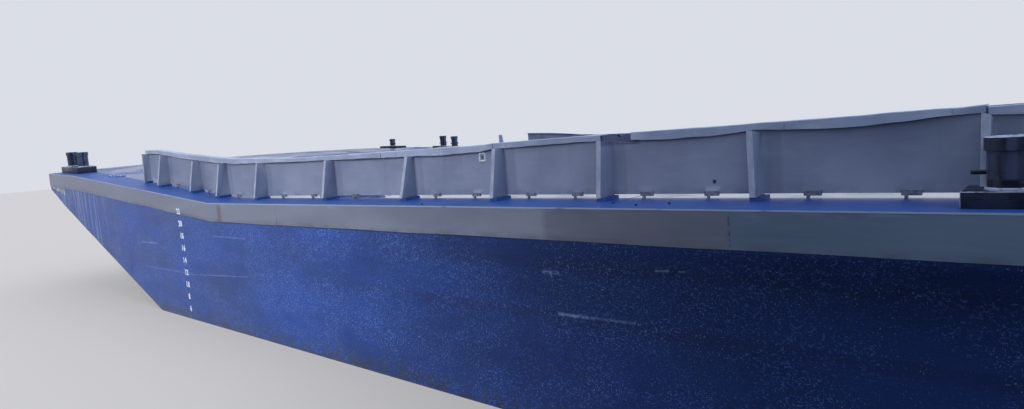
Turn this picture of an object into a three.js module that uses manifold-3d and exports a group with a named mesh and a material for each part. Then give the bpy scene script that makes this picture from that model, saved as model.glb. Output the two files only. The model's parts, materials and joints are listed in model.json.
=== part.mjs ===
// Flat-deck river barge: raked bow and stern, side boards on outboard webs,
// mooring bitts and hinged deck hatches. Millimetres, +X forward, +Y port, +Z up,
// origin on the flat bottom at mid-length and mid-beam.
import * as THREE from 'three';
import { mergeVertices } from 'three/addons/utils/BufferGeometryUtils.js';
import Module from 'manifold-3d';

const wasm = await Module();
wasm.setup();

// Driving dimensions.
const LENGTH = 33500;
const BEAM = 10000;
const DEPTH = 2415;            // flat bottom to the deck edge amidships
const SHEER_RISE = 645;        // extra height of the deck edge at the bow
const FORE_DECK = 8515;        // length of the deck that climbs to the bow
const SHEER_EASE = 2015;       // last stretch, where the climb eases off
const SHEER_EASE_RISE = 90;    // rise over that last stretch
const CAMBER = 80;             // crown of the deck at the centre line
const CROWN_STRAKES = 15;      // flat strakes that make up the crown
const HEADLOG = 400;           // depth of the upright plate at the bow
const BOW_TURN_IN = 35;        // each side closes in by this much at the bow
const BOW_TURN_LENGTH = 1215;
const BOW_RAKE = 7400;         // length of the sloping bottom at the bow
const STERN_RAKE = 4600;
const TRANSOM = 1150;          // depth of the upright plate at the stern
const RAKE_EASE = 900;         // half-length of the bend where a rake begins
const BILGE = 320;             // radius between bottom and side
const CHINE = 45;              // it closes to this radius on the rakes
const BAND = 265;              // height of the grey sheer strake
const BAND_GROWTH = 35;        // how much deeper the band is at the bow
const BAND_PLATE = 8;
const DECK_PLATE = 12;
const BOARD_INSET = 515;       // deck edge to the outer face of the side board
const BOARD_TOP = 556;         // deck to the top of the cap rail, on the port side
const STBD_LOWER = 58;         // the starboard board and its brackets stand this much lower
const FAIR_RISE = 50;          // the cap rail's extra height forward of the knuckle
const FAIR_LENGTH = 1700;      // stretch aft of the knuckle where it rises
const BOARD_SLIT = 35;         // drain slit under the side board
const BOARD_PLATE = 10;
const CAP_WIDTH = 125;
const CAP_OVERHANG = 26;       // cap rail outside the board
const CAP_FACE = 66;
const CAP_PLATE = 8;
const WEB_FOOT = 212;          // reach of a bracket at the deck
const WEB_HEAD = 112;          // reach of a bracket under the cap
const FLANGE = 46;             // width of a bracket's outboard flange, folded forward from its web
const FLANGE_PLATE = 10;
const WEB_PLATE = 10;
const WEB_PITCH = 1300;        // spacing of the brackets aft of midships
const WEB_OFF_DECK = 28;       // a bracket's web starts this far over the deck
const WEB_UNDER_CAP = 5;       // and stops this far under the cap rail's lip
const CHOCK_LENGTH = 90;       // chock under a bracket's foot, fore and aft
const CHOCK_IN = 14;           // and how far it stops inside the foot
const SEAT = 0.3;              // fitting gap between pieces that touch

const BOW = LENGTH / 2;
const STERN = -LENGTH / 2;
const KNUCKLE = BOW - FORE_DECK;               // where the deck starts to climb
const BOARD_Y = BEAM / 2 - BOARD_INSET;        // outer face of the side board
const STRAKE = BEAM / CROWN_STRAKES;
const SIDES = [{ name: 'port', sign: 1 }, { name: 'stbd', sign: -1 }];

const paint = {
  hull: new THREE.MeshStandardMaterial({ color: 0x23449c, roughness: 0.45, metalness: 0.1 }),
  deck: new THREE.MeshStandardMaterial({ color: 0x2c5bb4, roughness: 0.4, metalness: 0.1 }),
  band: new THREE.MeshStandardMaterial({ color: 0x74797f, roughness: 0.55, metalness: 0.1 }),
  board: new THREE.MeshStandardMaterial({ color: 0x757a8c, roughness: 0.55, metalness: 0.1 }),
  cap: new THREE.MeshStandardMaterial({ color: 0x9a9fae, roughness: 0.55, metalness: 0.1 }),
  bitts: new THREE.MeshStandardMaterial({ color: 0x1c1f2b, roughness: 0.5, metalness: 0.3 }),
};

const barge = new THREE.Group();

function addPiece(name, geometry, material) {
  const mesh = new THREE.Mesh(geometry, material);
  mesh.name = name;
  barge.add(mesh);
  return mesh;
}

// Lines of the hull.
function ease(distance, halfLength) {
  // Straight line of slope 1 from 0, with a parabola over the bend at its start.
  if (distance <= -halfLength) return 0;
  if (distance >= halfLength) return distance;
  return (distance + halfLength) ** 2 / (4 * halfLength);
}

function deckEdge(x) {
  const easeStart = BOW - SHEER_EASE;
  const slope = (SHEER_RISE - SHEER_EASE_RISE) / (FORE_DECK - SHEER_EASE);
  if (x <= KNUCKLE) return DEPTH;
  if (x <= easeStart) return DEPTH + slope * (x - KNUCKLE);
  const endSlope = SHEER_EASE_RISE / SHEER_EASE;
  return DEPTH + slope * (easeStart - KNUCKLE) + endSlope * (x - easeStart);
}

// The deck's crown is laid in flat strakes, so every piece that follows it shares their edges.
// The middle strake is level.
function crown(y) {
  const rise = (edge) => CAMBER * (1 - (2 * edge / BEAM) ** 2);
  const off = Math.abs(y);
  if (off <= STRAKE / 2) return rise(STRAKE / 2);
  const inner = (Math.min(Math.floor(off / STRAKE - 0.5), (CROWN_STRAKES - 3) / 2) + 0.5) * STRAKE;
  const share = (off - inner) / STRAKE;
  return rise(inner) * (1 - share) + rise(inner + STRAKE) * share;
}

function across(y0, y1) {
  // Offsets from y0 to y1 that stop at every strake edge on the way.
  const edges = Array.from({ length: CROWN_STRAKES - 1 }, (_, i) => (i + 1) * STRAKE - BEAM / 2);
  const between = edges.filter((y) => y > Math.min(y0, y1) + 1 && y < Math.max(y0, y1) - 1);
  if (y0 > y1) between.reverse();
  return [y0, ...between, y1];
}

function deckTop(x, y) {
  return deckEdge(x) + crown(y);
}

// The board's top runs fair through the deck's knuckle, and stays that much higher forward of it.
function boardTop(sign, x) {
  const share = Math.min(1, Math.max(0, (x - KNUCKLE + FAIR_LENGTH) / FAIR_LENGTH));
  return BOARD_TOP - (sign < 0 ? STBD_LOWER : 0) + FAIR_RISE * share;
}

function halfBreadth(x) {
  const turn = Math.max(0, x - (BOW - BOW_TURN_LENGTH)) / BOW_TURN_LENGTH;
  return BEAM / 2 - BOW_TURN_IN * turn;
}

function bottom(x) {
  const bowSlope = (DEPTH + SHEER_RISE - HEADLOG) / BOW_RAKE;
  const sternSlope = (DEPTH - TRANSOM) / STERN_RAKE;
  const fromBowRake = x - (BOW - BOW_RAKE);
  const fromSternRake = (STERN + STERN_RAKE) - x;
  return bowSlope * ease(fromBowRake, RAKE_EASE) + sternSlope * ease(fromSternRake, RAKE_EASE);
}

function bilge(x) {
  const intoRake = Math.max(x - (BOW - BOW_RAKE), STERN + STERN_RAKE - x);
  const share = Math.min(1, Math.max(0, (intoRake + RAKE_EASE) / (2 * RAKE_EASE)));
  return BILGE + (CHINE - BILGE) * share;
}

// The band deepens a little towards the bow.
function bandHeight(x) {
  return BAND + BAND_GROWTH * Math.max(0, x - KNUCKLE) / FORE_DECK;
}

// Shapes.
// A skin through rings of equal point count, one ring a station along X, with flat ends.
function loft(stations, ringAt) {
  const flat = stations.map((x) => ringAt(x).map(([y, z]) => new THREE.Vector2(y, z)));
  if (THREE.ShapeUtils.isClockWise(flat[0])) flat.forEach((ring) => ring.reverse());
  const count = flat[0].length;
  const positions = flat.flatMap((ring, s) => ring.flatMap((p) => [stations[s], p.x, p.y]));
  const faces = [];
  for (let s = 0; s < stations.length - 1; s += 1) {
    for (let i = 0; i < count; i += 1) {
      const a = s * count + i;
      const b = s * count + (i + 1) % count;
      faces.push(a, b, a + count, b, b + count, a + count);
    }
  }
  faces.push(...endFaces(flat[0]).flatMap(([a, b, c]) => [a, c, b]));
  const last = (stations.length - 1) * count;
  faces.push(...endFaces(flat.at(-1)).flatMap(([a, b, c]) => [last + a, last + b, last + c]));
  const geometry = new THREE.BufferGeometry();
  geometry.setAttribute('position', new THREE.Float32BufferAttribute(positions, 3));
  geometry.setIndex(faces);
  geometry.computeVertexNormals();
  return geometry;
}

function endFaces(ring) {
  return THREE.ShapeUtils.triangulateShape(ring, []).map(([a, b, c]) => {
    const turn = ring[b].clone().sub(ring[a]).cross(ring[c].clone().sub(ring[a]));
    return turn > 0 ? [a, b, c] : [a, c, b];
  });
}

function solid(geometry) {
  const plain = geometry.clone();
  plain.deleteAttribute('normal');
  plain.deleteAttribute('uv');
  const merged = mergeVertices(plain, 1e-3);
  return new wasm.Manifold(new wasm.Mesh({
    numProp: 3,
    vertProperties: new Float32Array(merged.attributes.position.array),
    triVerts: new Uint32Array(merged.index.array),
  }));
}

function joinedSolid(geometries) {
  return geometries.map(solid).reduce((sum, next) => sum.add(next));
}

function joined(geometries) {
  return fromSolid(joinedSolid(geometries));
}

function fromSolid(whole) {
  const mesh = whole.getMesh();
  const geometry = new THREE.BufferGeometry();
  geometry.setAttribute('position', new THREE.BufferAttribute(mesh.vertProperties, 3));
  geometry.setIndex(new THREE.BufferAttribute(mesh.triVerts, 1));
  geometry.computeVertexNormals();
  return geometry;
}

// A block between two stations and two offsets from the centre line,
// whose bottom and top lie at given heights over the deck.
function onDeck(x0, x1, y0, y1, low, high) {
  const offsets = across(y0, y1);
  return loft([x0, x1], (x) => [
    ...offsets.map((y) => [y, deckTop(x, y) + low]),
    ...offsets.map((y) => [y, deckTop(x, y) + high]).reverse(),
  ]);
}

// The same block with a level top.
function wallOnDeck(x0, x1, y0, y1, low, top) {
  return loft([x0, x1], (x) => [
    ...across(y0, y1).map((y) => [y, deckTop(x, y) + low]),
    [y1, top],
    [y0, top],
  ]);
}

function box(width, depth, height, x, y, z) {
  return new THREE.BoxGeometry(width, depth, height).translate(x, y, z);
}

function post(radius, height, x, y, z) {
  return new THREE.CylinderGeometry(radius, radius, height, 28)
    .rotateX(Math.PI / 2)
    .translate(x, y, z + height / 2);
}

function arc(cy, cz, radius, from, to, steps) {
  return Array.from({ length: steps + 1 }, (_, i) => {
    const angle = from + (to - from) * i / steps;
    return [cy + radius * Math.cos(angle), cz + radius * Math.sin(angle)];
  });
}

// Hull.
function rakeStations(start, direction, length) {
  const bend = [-1, -0.5, 0, 0.5, 1].map((t) => start + direction * t * RAKE_EASE);
  return [...bend, start + direction * (RAKE_EASE + length) / 2];
}

const hullStations = [
  STERN + BAND_PLATE,
  ...rakeStations(STERN + STERN_RAKE, -1, STERN_RAKE),
  KNUCKLE,
  ...rakeStations(BOW - BOW_RAKE, 1, BOW_RAKE),
  BOW - SHEER_EASE,
  BOW - BOW_TURN_LENGTH,
  BOW - BAND_PLATE - SEAT,
].sort((a, b) => a - b);

addPiece('hull', loft(hullStations, (x) => {
  const half = halfBreadth(x) - BAND_PLATE - SEAT;
  const low = bottom(x);
  const radius = bilge(x);
  const right = arc(half - radius, low + radius, radius, -Math.PI / 2, 0, 5);
  const left = arc(-half + radius, low + radius, radius, Math.PI, 1.5 * Math.PI, 5);
  const top = across(half, -half).map((y) => [y, deckTop(x, y) - DECK_PLATE - SEAT]);
  return [...right, ...top, ...left];
}), paint.hull);

// Deck plating, in three lengths.
const AFT_SEAM = STERN + STERN_RAKE;
const deckParts = [
  { name: 'deck_aft', from: STERN, to: AFT_SEAM },
  { name: 'deck_main', from: AFT_SEAM + SEAT, to: KNUCKLE - SEAT },
  { name: 'deck_fore', from: KNUCKLE, to: BOW },
];
for (const { name, from, to } of deckParts) {
  const inner = [BOW - SHEER_EASE, BOW - BOW_TURN_LENGTH].filter((x) => x > from && x < to);
  addPiece(name, loft([from, ...inner, to], (x) => {
    const offsets = across(halfBreadth(x), -halfBreadth(x));
    const upper = offsets.map((y) => [y, deckTop(x, y)]);
    const lower = offsets.map((y) => [y, deckTop(x, y) - DECK_PLATE]).reverse();
    return [...upper, ...lower];
  }), paint.deck);
}

// Grey sheer strakes along the sides, and the bands across bow and stern.
const bandStations = [
  STERN, KNUCKLE, BOW - SHEER_EASE, BOW - BOW_TURN_LENGTH, BOW,
];
for (const { name, sign } of SIDES) {
  addPiece(`sheer_strake_${name}`, loft(bandStations, (x) => {
    const outer = halfBreadth(x);
    const top = deckTop(x, outer) - DECK_PLATE - SEAT;
    const low = top - bandHeight(x);
    return [
      [sign * (outer - BAND_PLATE), low],
      [sign * outer, low],
      [sign * outer, top],
      [sign * (outer - BAND_PLATE), top],
    ];
  }), paint.band);
}
const endBands = [
  { name: 'headlog_plate', x: BOW, inward: -1, height: bandHeight(BOW) },
  { name: 'transom_band', x: STERN, inward: 1, height: BAND },
];
for (const { name, x, inward, height } of endBands) {
  const half = halfBreadth(x) - BAND_PLATE - SEAT;
  const faces = [x, x + inward * (BAND_PLATE - SEAT)].sort((a, b) => a - b);
  addPiece(name, loft(faces, (face) => {
    const top = across(half, -half).map((y) => [y, deckTop(face, y) - DECK_PLATE - SEAT]);
    const level = deckEdge(x) - DECK_PLATE - SEAT - height;
    return [...top, [-half, level], [half, level]];
  }), paint.band);
}

// Skegs under the stern rake.
const SKEG_OFFSET = 2600;
const SKEG_PLATE = 60;
const SKEG_CLEAR = 40;         // the skegs end this far above the flat bottom
const skegStations = [STERN + 250, STERN + 1800, STERN + 3400];
for (const { name, sign } of SIDES) {
  addPiece(`skeg_${name}`, loft(skegStations, (x) => {
    const y0 = sign * SKEG_OFFSET - SKEG_PLATE / 2;
    const y1 = sign * SKEG_OFFSET + SKEG_PLATE / 2;
    const top = bottom(x) - SEAT;
    return [[y0, SKEG_CLEAR], [y1, SKEG_CLEAR], [y1, top], [y0, top]];
  }), paint.hull);
}

// Side boards.
// Stations of the brackets on the port side, forward to aft, as distances ahead of the knuckle.
const forwardWebs = [2680, 1330, 370, -860, -2650, -4235, -5615, -6865, -8160, -9530];
const AFT_WEBS = 9;
const webStations = [
  ...forwardWebs.map((ahead) => KNUCKLE + ahead),
  ...Array.from({ length: AFT_WEBS }, (_, i) => KNUCKLE - 9530 - WEB_PITCH * (i + 1)),
];
const BITTS_WEB = KNUCKLE - 9530;              // this bracket steps over the side bitts' foundation
const plainWeb = { foot: WEB_FOOT, head: WEB_HEAD };
const endWeb = { foot: 120, head: 100 };
const END_WEB_IN = 60;                         // board's end to its end bracket
const bittsWeb = { ...plainWeb, step: { reach: 105, height: 95 } };
const BOARD_AFT = KNUCKLE - 21900;
const boardFore = { port: KNUCKLE + 3620, stbd: KNUCKLE + 1780 };
const boardSeams = [KNUCKLE - 3690, KNUCKLE - 12730];

function boardGeometry(sign, from, to) {
  const inner = [KNUCKLE - FAIR_LENGTH, KNUCKLE].filter((x) => x > from && x < to);
  const outerY = sign * BOARD_Y;
  const innerY = sign * (BOARD_Y - BOARD_PLATE);
  return loft([from, ...inner, to], (x) => {
    const deck = deckTop(x, outerY);
    const top = deck + boardTop(sign, x) - CAP_PLATE - SEAT;
    return [[innerY, deck + BOARD_SLIT], [outerY, deck + BOARD_SLIT], [outerY, top], [innerY, top]];
  });
}

// A tapered bracket outside the board: a web, its outboard flange folded forward, and a chock under its foot.
// foot and head are its reach at the deck and under the cap rail.
// One that stands behind a foundation steps over it: step gives the foundation's reach and height.
function webGeometry(sign, x, { foot, head, step }) {
  const outerY = sign * BOARD_Y;
  const buried = outerY - sign * BOARD_PLATE / 2;
  const at = (reach) => outerY + sign * reach;
  const deck = (reach) => deckTop(x, at(reach));
  const top = deck(0) + boardTop(sign, x) - CAP_FACE - WEB_UNDER_CAP;
  const low = step ? step.height + SEAT : WEB_OFF_DECK;
  const footReach = foot - (foot - head) * low / (top - deck(foot));
  const stepUp = step ? [WEB_OFF_DECK, low].map((height) => [at(step.reach), deck(step.reach) + height]) : [];
  const web = loft([x - WEB_PLATE / 2, x + WEB_PLATE / 2], () => [
    [buried, deck(0) + WEB_OFF_DECK],
    ...stepUp,
    [at(footReach), deck(footReach) + low],
    [at(head), top],
    [buried, top],
  ]);
  const inside = FLANGE_PLATE * 0.4;
  const outside = FLANGE_PLATE * 0.6;
  const flange = loft([x - WEB_PLATE / 2, x - WEB_PLATE / 2 + FLANGE], () => [
    [at(footReach - inside), deck(footReach) + low + 2],
    [at(footReach + outside), deck(footReach) + low + 2],
    [at(head + outside), top],
    [at(head - inside), top],
  ]);
  const chockReach = step ? step.reach : foot - CHOCK_IN;
  const chockEnds = [x - CHOCK_LENGTH / 2, x + CHOCK_LENGTH / 2];
  const chock = onDeck(...chockEnds, buried, at(chockReach), SEAT, WEB_OFF_DECK + 2);
  return [web, flange, chock];
}

// Two clips a bay on the outer face, over the drain slit, each with a short leg down to the deck.
// CLIP_SHARES: places along the bay, from its forward bracket.
const CLIP_SHARES = [0.25, 0.69];
const CLIP_LENGTH = 115;
const CLIP_LOW = 20;
const CLIP_HIGH = 56;
const CLIP_PLATE = 8;
const CLIP_LEG = 18;
function footClips(sign, from, to) {
  const clips = [];
  const bays = [...webStations].sort((a, b) => b - a);
  const inside = sign * (BOARD_Y - BOARD_PLATE);
  const outside = sign * (BOARD_Y + CLIP_PLATE);
  for (let i = 0; i < bays.length - 1; i += 1) {
    for (const share of CLIP_SHARES) {
      const x = bays[i] + (bays[i + 1] - bays[i]) * share;
      const fore = x + CLIP_LENGTH / 2;
      if (x + CLIP_LENGTH < to && x - CLIP_LENGTH > from) {
        clips.push(onDeck(fore - CLIP_LENGTH, fore, inside, outside, CLIP_LOW, CLIP_HIGH));
        clips.push(onDeck(fore - 2 * CLIP_LEG, fore - CLIP_LEG, inside, outside, SEAT, CLIP_LOW + 2));
      }
    }
  }
  return clips;
}

for (const { name, sign } of SIDES) {
  const ends = [boardFore[name], ...boardSeams, BOARD_AFT];
  const lengths = ['fore', 'mid', 'aft'];
  lengths.forEach((length, i) => {
    const to = ends[i];
    const from = ends[i + 1] + (i < 2 ? 1 : 0);
    const webs = webStations.filter((x) => x > from && x < to);
    const pieces = [boardGeometry(sign, from, to)];
    for (const x of webs) pieces.push(...webGeometry(sign, x, x === BITTS_WEB ? bittsWeb : plainWeb));
    if (i === 0) pieces.push(...webGeometry(sign, to - END_WEB_IN, endWeb));
    if (i === 2) pieces.push(...webGeometry(sign, from + END_WEB_IN, endWeb));
    pieces.push(...footClips(sign, from, to));
    addPiece(`side_board_${name}_${length}`, joined(pieces), paint.board);
  });
}

// Cap rails on the side boards.
// Distances ahead of the knuckle; the rails butt with open joints, and one stretch is missing.
const capLengths = [
  { name: '1', from: 3620, to: -3660 },
  { name: '2', from: -3672, to: -5490 },
  { name: '3', from: -5498, to: -6775 },
  { name: '4', from: -7085, to: -9500 },
  { name: '5', from: -9512, to: -15700 },
  { name: '6', from: -15710, to: -21900 },
];
for (const { name, sign } of SIDES) {
  for (const length of capLengths) {
    const fore = Math.min(KNUCKLE + length.from, boardFore[name]);
    const aft = KNUCKLE + length.to;
    const inner = [KNUCKLE - FAIR_LENGTH, KNUCKLE].filter((x) => x > aft && x < fore);
    addPiece(`cap_rail_${name}_${length.name}`, loft([aft, ...inner, fore], (x) => {
      const top = deckTop(x, sign * BOARD_Y) + boardTop(sign, x);
      const outer = BOARD_Y + CAP_OVERHANG;
      const inside = outer - CAP_WIDTH;
      return [
        [sign * inside, top - CAP_PLATE],
        [sign * (outer - CAP_PLATE), top - CAP_PLATE],
        [sign * (outer - CAP_PLATE), top - CAP_FACE],
        [sign * outer, top - CAP_FACE],
        [sign * outer, top],
        [sign * inside, top],
      ];
    }), paint.cap);
  }
}

// Mooring bitts: two posts, or a single one, with collars and a bar through each, on a foundation box.
// inset: deck edge to the line of the posts; gap: between the posts' centres, 0 for a single post;
// base, length and width are the foundation's.
const bittsKinds = {
  bow: { inset: 430, radius: 105, height: 325, gap: 760, base: 140, length: 1220, width: 380 },
  single: { inset: 430, radius: 82, height: 230, gap: 0, base: 60, length: 900, width: 380 },
  fore: { inset: 480, radius: 92, height: 310, gap: 500, base: 90, length: 1120, width: 360 },
  side: { inset: 262, radius: 122, height: 290, gap: 800, base: 95, length: 1260, width: 284 },
  aft: { inset: 480, radius: 105, height: 325, gap: 760, base: 140, length: 1220, width: 380 },
};
// ahead: distance ahead of the knuckle.
const bitts = [
  { kind: 'bow', side: 'port', ahead: 7640 },
  { kind: 'single', side: 'stbd', ahead: 7785 },
  { kind: 'fore', side: 'stbd', ahead: 4990 },
  { kind: 'side', side: 'port', ahead: -10050 },
  { kind: 'side', side: 'stbd', ahead: -10050 },
  { kind: 'aft', side: 'port', ahead: -24000 },
  { kind: 'aft', side: 'stbd', ahead: -24000 },
];
const PIN_RADIUS = 15;
const PIN_REACH = 85;
const PIN_SHARE = 0.32;        // height of the bar, as a share of the post
const COLLAR = 75;             // depth of the collar round the top of a post
const COLLAR_PLATE = 12;
const POST_SUNK = 8;           // a post starts this far over the deck, inside its foundation
for (const { kind, side, ahead } of bitts) {
  const { inset, radius, height, gap, base, length, width } = bittsKinds[kind];
  const { sign } = SIDES.find((each) => each.name === side);
  const x = KNUCKLE + ahead;
  const y = sign * (BEAM / 2 - inset);
  const pieces = [
    onDeck(x - length / 2, x + length / 2, y - width / 2, y + width / 2, SEAT, base),
  ];
  for (const postX of gap > 0 ? [x - gap / 2, x + gap / 2] : [x]) {
    const deck = deckTop(postX, y);
    const pin = new THREE.CylinderGeometry(PIN_RADIUS, PIN_RADIUS, 2 * (radius + PIN_REACH), 12);
    pieces.push(post(radius, height + base - SEAT - POST_SUNK, postX, y, deck + SEAT + POST_SUNK));
    pieces.push(post(radius + COLLAR_PLATE, COLLAR, postX, y, deck + base + height - COLLAR));
    pieces.push(pin.rotateZ(Math.PI / 2).translate(postX, y, deck + base + height * PIN_SHARE));
  }
  const name = gap > 0 ? `bitts_${kind}` : 'bollard_bow';
  addPiece(`${name}_${side}`, joined(pieces), paint.bitts);
}

// Lone bracket left standing on the starboard side, ahead of its board.
const LONE_WEB = 2860;
addPiece('lone_bracket_stbd', joined(webGeometry(-1, KNUCKLE + LONE_WEB, plainWeb)), paint.board);

// Access hatches: welded coamings with hinged lids.
const HATCH = 700;             // outside of a coaming
const COAMING = 230;
const COAMING_PLATE = 10;
const LID_CLEAR = 6;           // lid over the coaming
const LID_PLATE = 10;
const SKIRT_CLEAR = 8;
const SKIRT_DEPTH = 42;
const HINGE_OUT = 42;          // coaming to the hinge line
const HINGE_UP = 12;
const HINGE_PIN = 12;          // radii of the pin, its hole and the knuckle
const HINGE_HOLE = 12.5;
const KNUCKLE_RADIUS = 24;
const KNUCKLE_LENGTH = 60;
const HINGE_SPREAD = 200;      // each hinge to the middle of the lid
const LUG_PLATE = 12;
const LUG_CLEAR = 6;
const LUG_RADIUS = 28;
const LUG_LEG_OUT = 18;        // leg of a lug: reach outside the hinge line, depth, and drop from the rim
const LUG_LEG_DEPTH = 90;
const LUG_LEG_DROP = 10;
const PIN_END = 8;             // pin outside each outer lug
const STRAP_LENGTH = 260;
const STRAP_PLATE = 16;
const FLOOR_PLATE = 6;

function rod(radius, length, x, y, z, sides = 24) {
  // A bar along Y.
  return new THREE.CylinderGeometry(radius, radius, length, sides).translate(x, y, z);
}

const hatches = [
  { name: 'fore_port', x: KNUCKLE - 1150, y: 3250 },
  { name: 'fore_stbd', x: KNUCKLE - 1150, y: -3250 },
  { name: 'aft_port', x: STERN + 1750, y: 2400 },
  { name: 'aft_stbd', x: STERN + 1750, y: -2400 },
];
for (const { name, x, y } of hatches) {
  const half = HATCH / 2;
  const top = deckTop(x, Math.abs(y)) + COAMING;
  const hingeX = x - half - HINGE_OUT;
  const hingeZ = top + HINGE_UP;
  const pinLength = 2 * (HINGE_SPREAD + LUG_CLEAR + LUG_PLATE + PIN_END) + KNUCKLE_LENGTH;

  const coaming = [
    onDeck(x - half, x + half, y - half, y + half, SEAT, FLOOR_PLATE),
    wallOnDeck(x - half, x - half + COAMING_PLATE, y - half, y + half, SEAT, top),
    wallOnDeck(x + half - COAMING_PLATE, x + half, y - half, y + half, SEAT, top),
    wallOnDeck(x - half, x + half, y - half, y - half + COAMING_PLATE, SEAT, top),
    wallOnDeck(x - half, x + half, y + half - COAMING_PLATE, y + half, SEAT, top),
    rod(HINGE_PIN, pinLength, hingeX, y, hingeZ),
  ];
  for (const side of [-1, 1]) {
    const lugY = y + side * (HINGE_SPREAD + KNUCKLE_LENGTH / 2 + LUG_CLEAR + LUG_PLATE / 2);
    coaming.push(rod(LUG_RADIUS, LUG_PLATE, hingeX, lugY, hingeZ));
    const legLength = LUG_LEG_OUT + HINGE_OUT + COAMING_PLATE / 2;
    const legX = x - half + COAMING_PLATE / 2 - legLength / 2;
    const legZ = top - LUG_LEG_DROP - LUG_LEG_DEPTH / 2;
    coaming.push(box(legLength, LUG_PLATE, LUG_LEG_DEPTH, legX, lugY, legZ));
  }
  addPiece(`hatch_coaming_${name}`, joined(coaming), paint.deck);

  // The lid's plate, its skirts on three sides, and the two hinge straps with their knuckles.
  const lidLow = top + LID_CLEAR;
  const skirt = half + SKIRT_CLEAR + COAMING_PLATE / 2;
  const lidLength = HATCH + SKIRT_CLEAR + COAMING_PLATE;
  const lidWidth = HATCH + 2 * (SKIRT_CLEAR + COAMING_PLATE);
  const lidX = x + (SKIRT_CLEAR + COAMING_PLATE) / 2;
  const skirtZ = lidLow + LID_PLATE - SKIRT_DEPTH / 2;
  const lid = [
    box(lidLength, lidWidth, LID_PLATE, lidX, y, lidLow + LID_PLATE / 2),
    box(COAMING_PLATE, lidWidth, SKIRT_DEPTH, x + skirt, y, skirtZ),
  ];
  for (const side of [-1, 1]) {
    const hingeY = y + side * HINGE_SPREAD;
    lid.push(box(lidLength, COAMING_PLATE, SKIRT_DEPTH, lidX, y + side * skirt, skirtZ));
    lid.push(rod(KNUCKLE_RADIUS, KNUCKLE_LENGTH, hingeX, hingeY, hingeZ));
    lid.push(box(STRAP_LENGTH, KNUCKLE_LENGTH, STRAP_PLATE,
      hingeX + STRAP_LENGTH / 2, hingeY, lidLow + LID_PLATE));
  }
  const pinHole = rod(HINGE_HOLE, 2 * HATCH, hingeX, y, hingeZ);
  addPiece(`hatch_lid_${name}`, fromSolid(joinedSolid(lid).subtract(solid(pinHole))), paint.deck);
}

// Oval manhole covers on the fore deck.
const MANHOLE_LONG = 250;      // half-axes
const MANHOLE_WIDE = 150;
const MANHOLE_PLATE = 12;
const manholes = [
  { name: 'port', ahead: 5450, y: BEAM / 2 - 520 },
  { name: 'stbd', ahead: 6280, y: -BEAM / 2 + 520 },
];
for (const { name, ahead, y } of manholes) {
  const x = KNUCKLE + ahead;
  const slopeX = (deckEdge(x + 100) - deckEdge(x)) / 100;
  const slopeY = (crown(y + 100) - crown(y)) / 100;
  const oval = new THREE.Shape().absellipse(0, 0, MANHOLE_LONG, MANHOLE_WIDE, 0, 2 * Math.PI);
  const plate = { depth: MANHOLE_PLATE, bevelEnabled: false, curveSegments: 32 };
  const cover = new THREE.ExtrudeGeometry(oval, plate);
  cover.applyMatrix4(new THREE.Matrix4().set(
    1, 0, 0, x,
    0, 1, 0, y,
    slopeX, slopeY, 1, deckTop(x, y) + SEAT,
    0, 0, 0, 1,
  ));
  addPiece(`manhole_cover_${name}`, cover, paint.deck);
}

export default barge;
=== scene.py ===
"""River barge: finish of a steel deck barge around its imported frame. Metres, +X bow, +Y port, +Z up."""
import json
import math
import random

import bmesh
import bpy
from mathutils import Matrix, Vector


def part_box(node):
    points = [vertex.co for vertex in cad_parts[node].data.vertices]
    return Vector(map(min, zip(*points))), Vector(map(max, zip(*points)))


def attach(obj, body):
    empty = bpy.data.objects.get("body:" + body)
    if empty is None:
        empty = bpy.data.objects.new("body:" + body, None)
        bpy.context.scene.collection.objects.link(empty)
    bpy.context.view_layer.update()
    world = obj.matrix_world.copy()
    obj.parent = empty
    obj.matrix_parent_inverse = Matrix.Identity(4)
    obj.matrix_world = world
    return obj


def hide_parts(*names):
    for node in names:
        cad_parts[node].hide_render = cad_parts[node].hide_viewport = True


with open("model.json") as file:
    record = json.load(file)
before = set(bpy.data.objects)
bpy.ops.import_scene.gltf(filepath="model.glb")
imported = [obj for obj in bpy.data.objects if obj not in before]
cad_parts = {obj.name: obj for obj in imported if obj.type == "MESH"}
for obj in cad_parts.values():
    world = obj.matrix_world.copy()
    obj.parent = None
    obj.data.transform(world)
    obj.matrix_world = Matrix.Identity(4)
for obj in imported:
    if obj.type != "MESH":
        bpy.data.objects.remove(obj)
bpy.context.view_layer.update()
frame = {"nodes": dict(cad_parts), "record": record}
scene = bpy.context.scene


# Camera: beside the port side amidships, a little above the deck, looking along the side to the bow.
# Its place, turn and focal length come from lines and sizes on the barge.
EYE = Vector((-1.858, 9.296, 3.002))
FRAME_WIDTH_PX = 1024
FOCAL_PX = 669.85
TURN_TO_BOW = 0.7433
LOOK_DOWN = 0.0966
TILT = -0.0795

look = Vector((math.sin(TURN_TO_BOW) * math.cos(LOOK_DOWN), -math.cos(TURN_TO_BOW) * math.cos(LOOK_DOWN),
               -math.sin(LOOK_DOWN)))
level_right = look.cross(Vector((0, 0, 1))).normalized()
level_up = level_right.cross(look)
right = math.cos(TILT) * level_right + math.sin(TILT) * level_up
up = -math.sin(TILT) * level_right + math.cos(TILT) * level_up
camera = bpy.data.objects.new("camera", bpy.data.cameras.new("camera"))
camera.data.sensor_width = 36
camera.data.lens = FOCAL_PX / FRAME_WIDTH_PX * camera.data.sensor_width
camera.data.clip_end = 500
camera.matrix_world = Matrix((right, up, -look)).transposed().to_4x4()
camera.location = EYE
scene.collection.objects.link(camera)
scene.camera = camera


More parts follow.
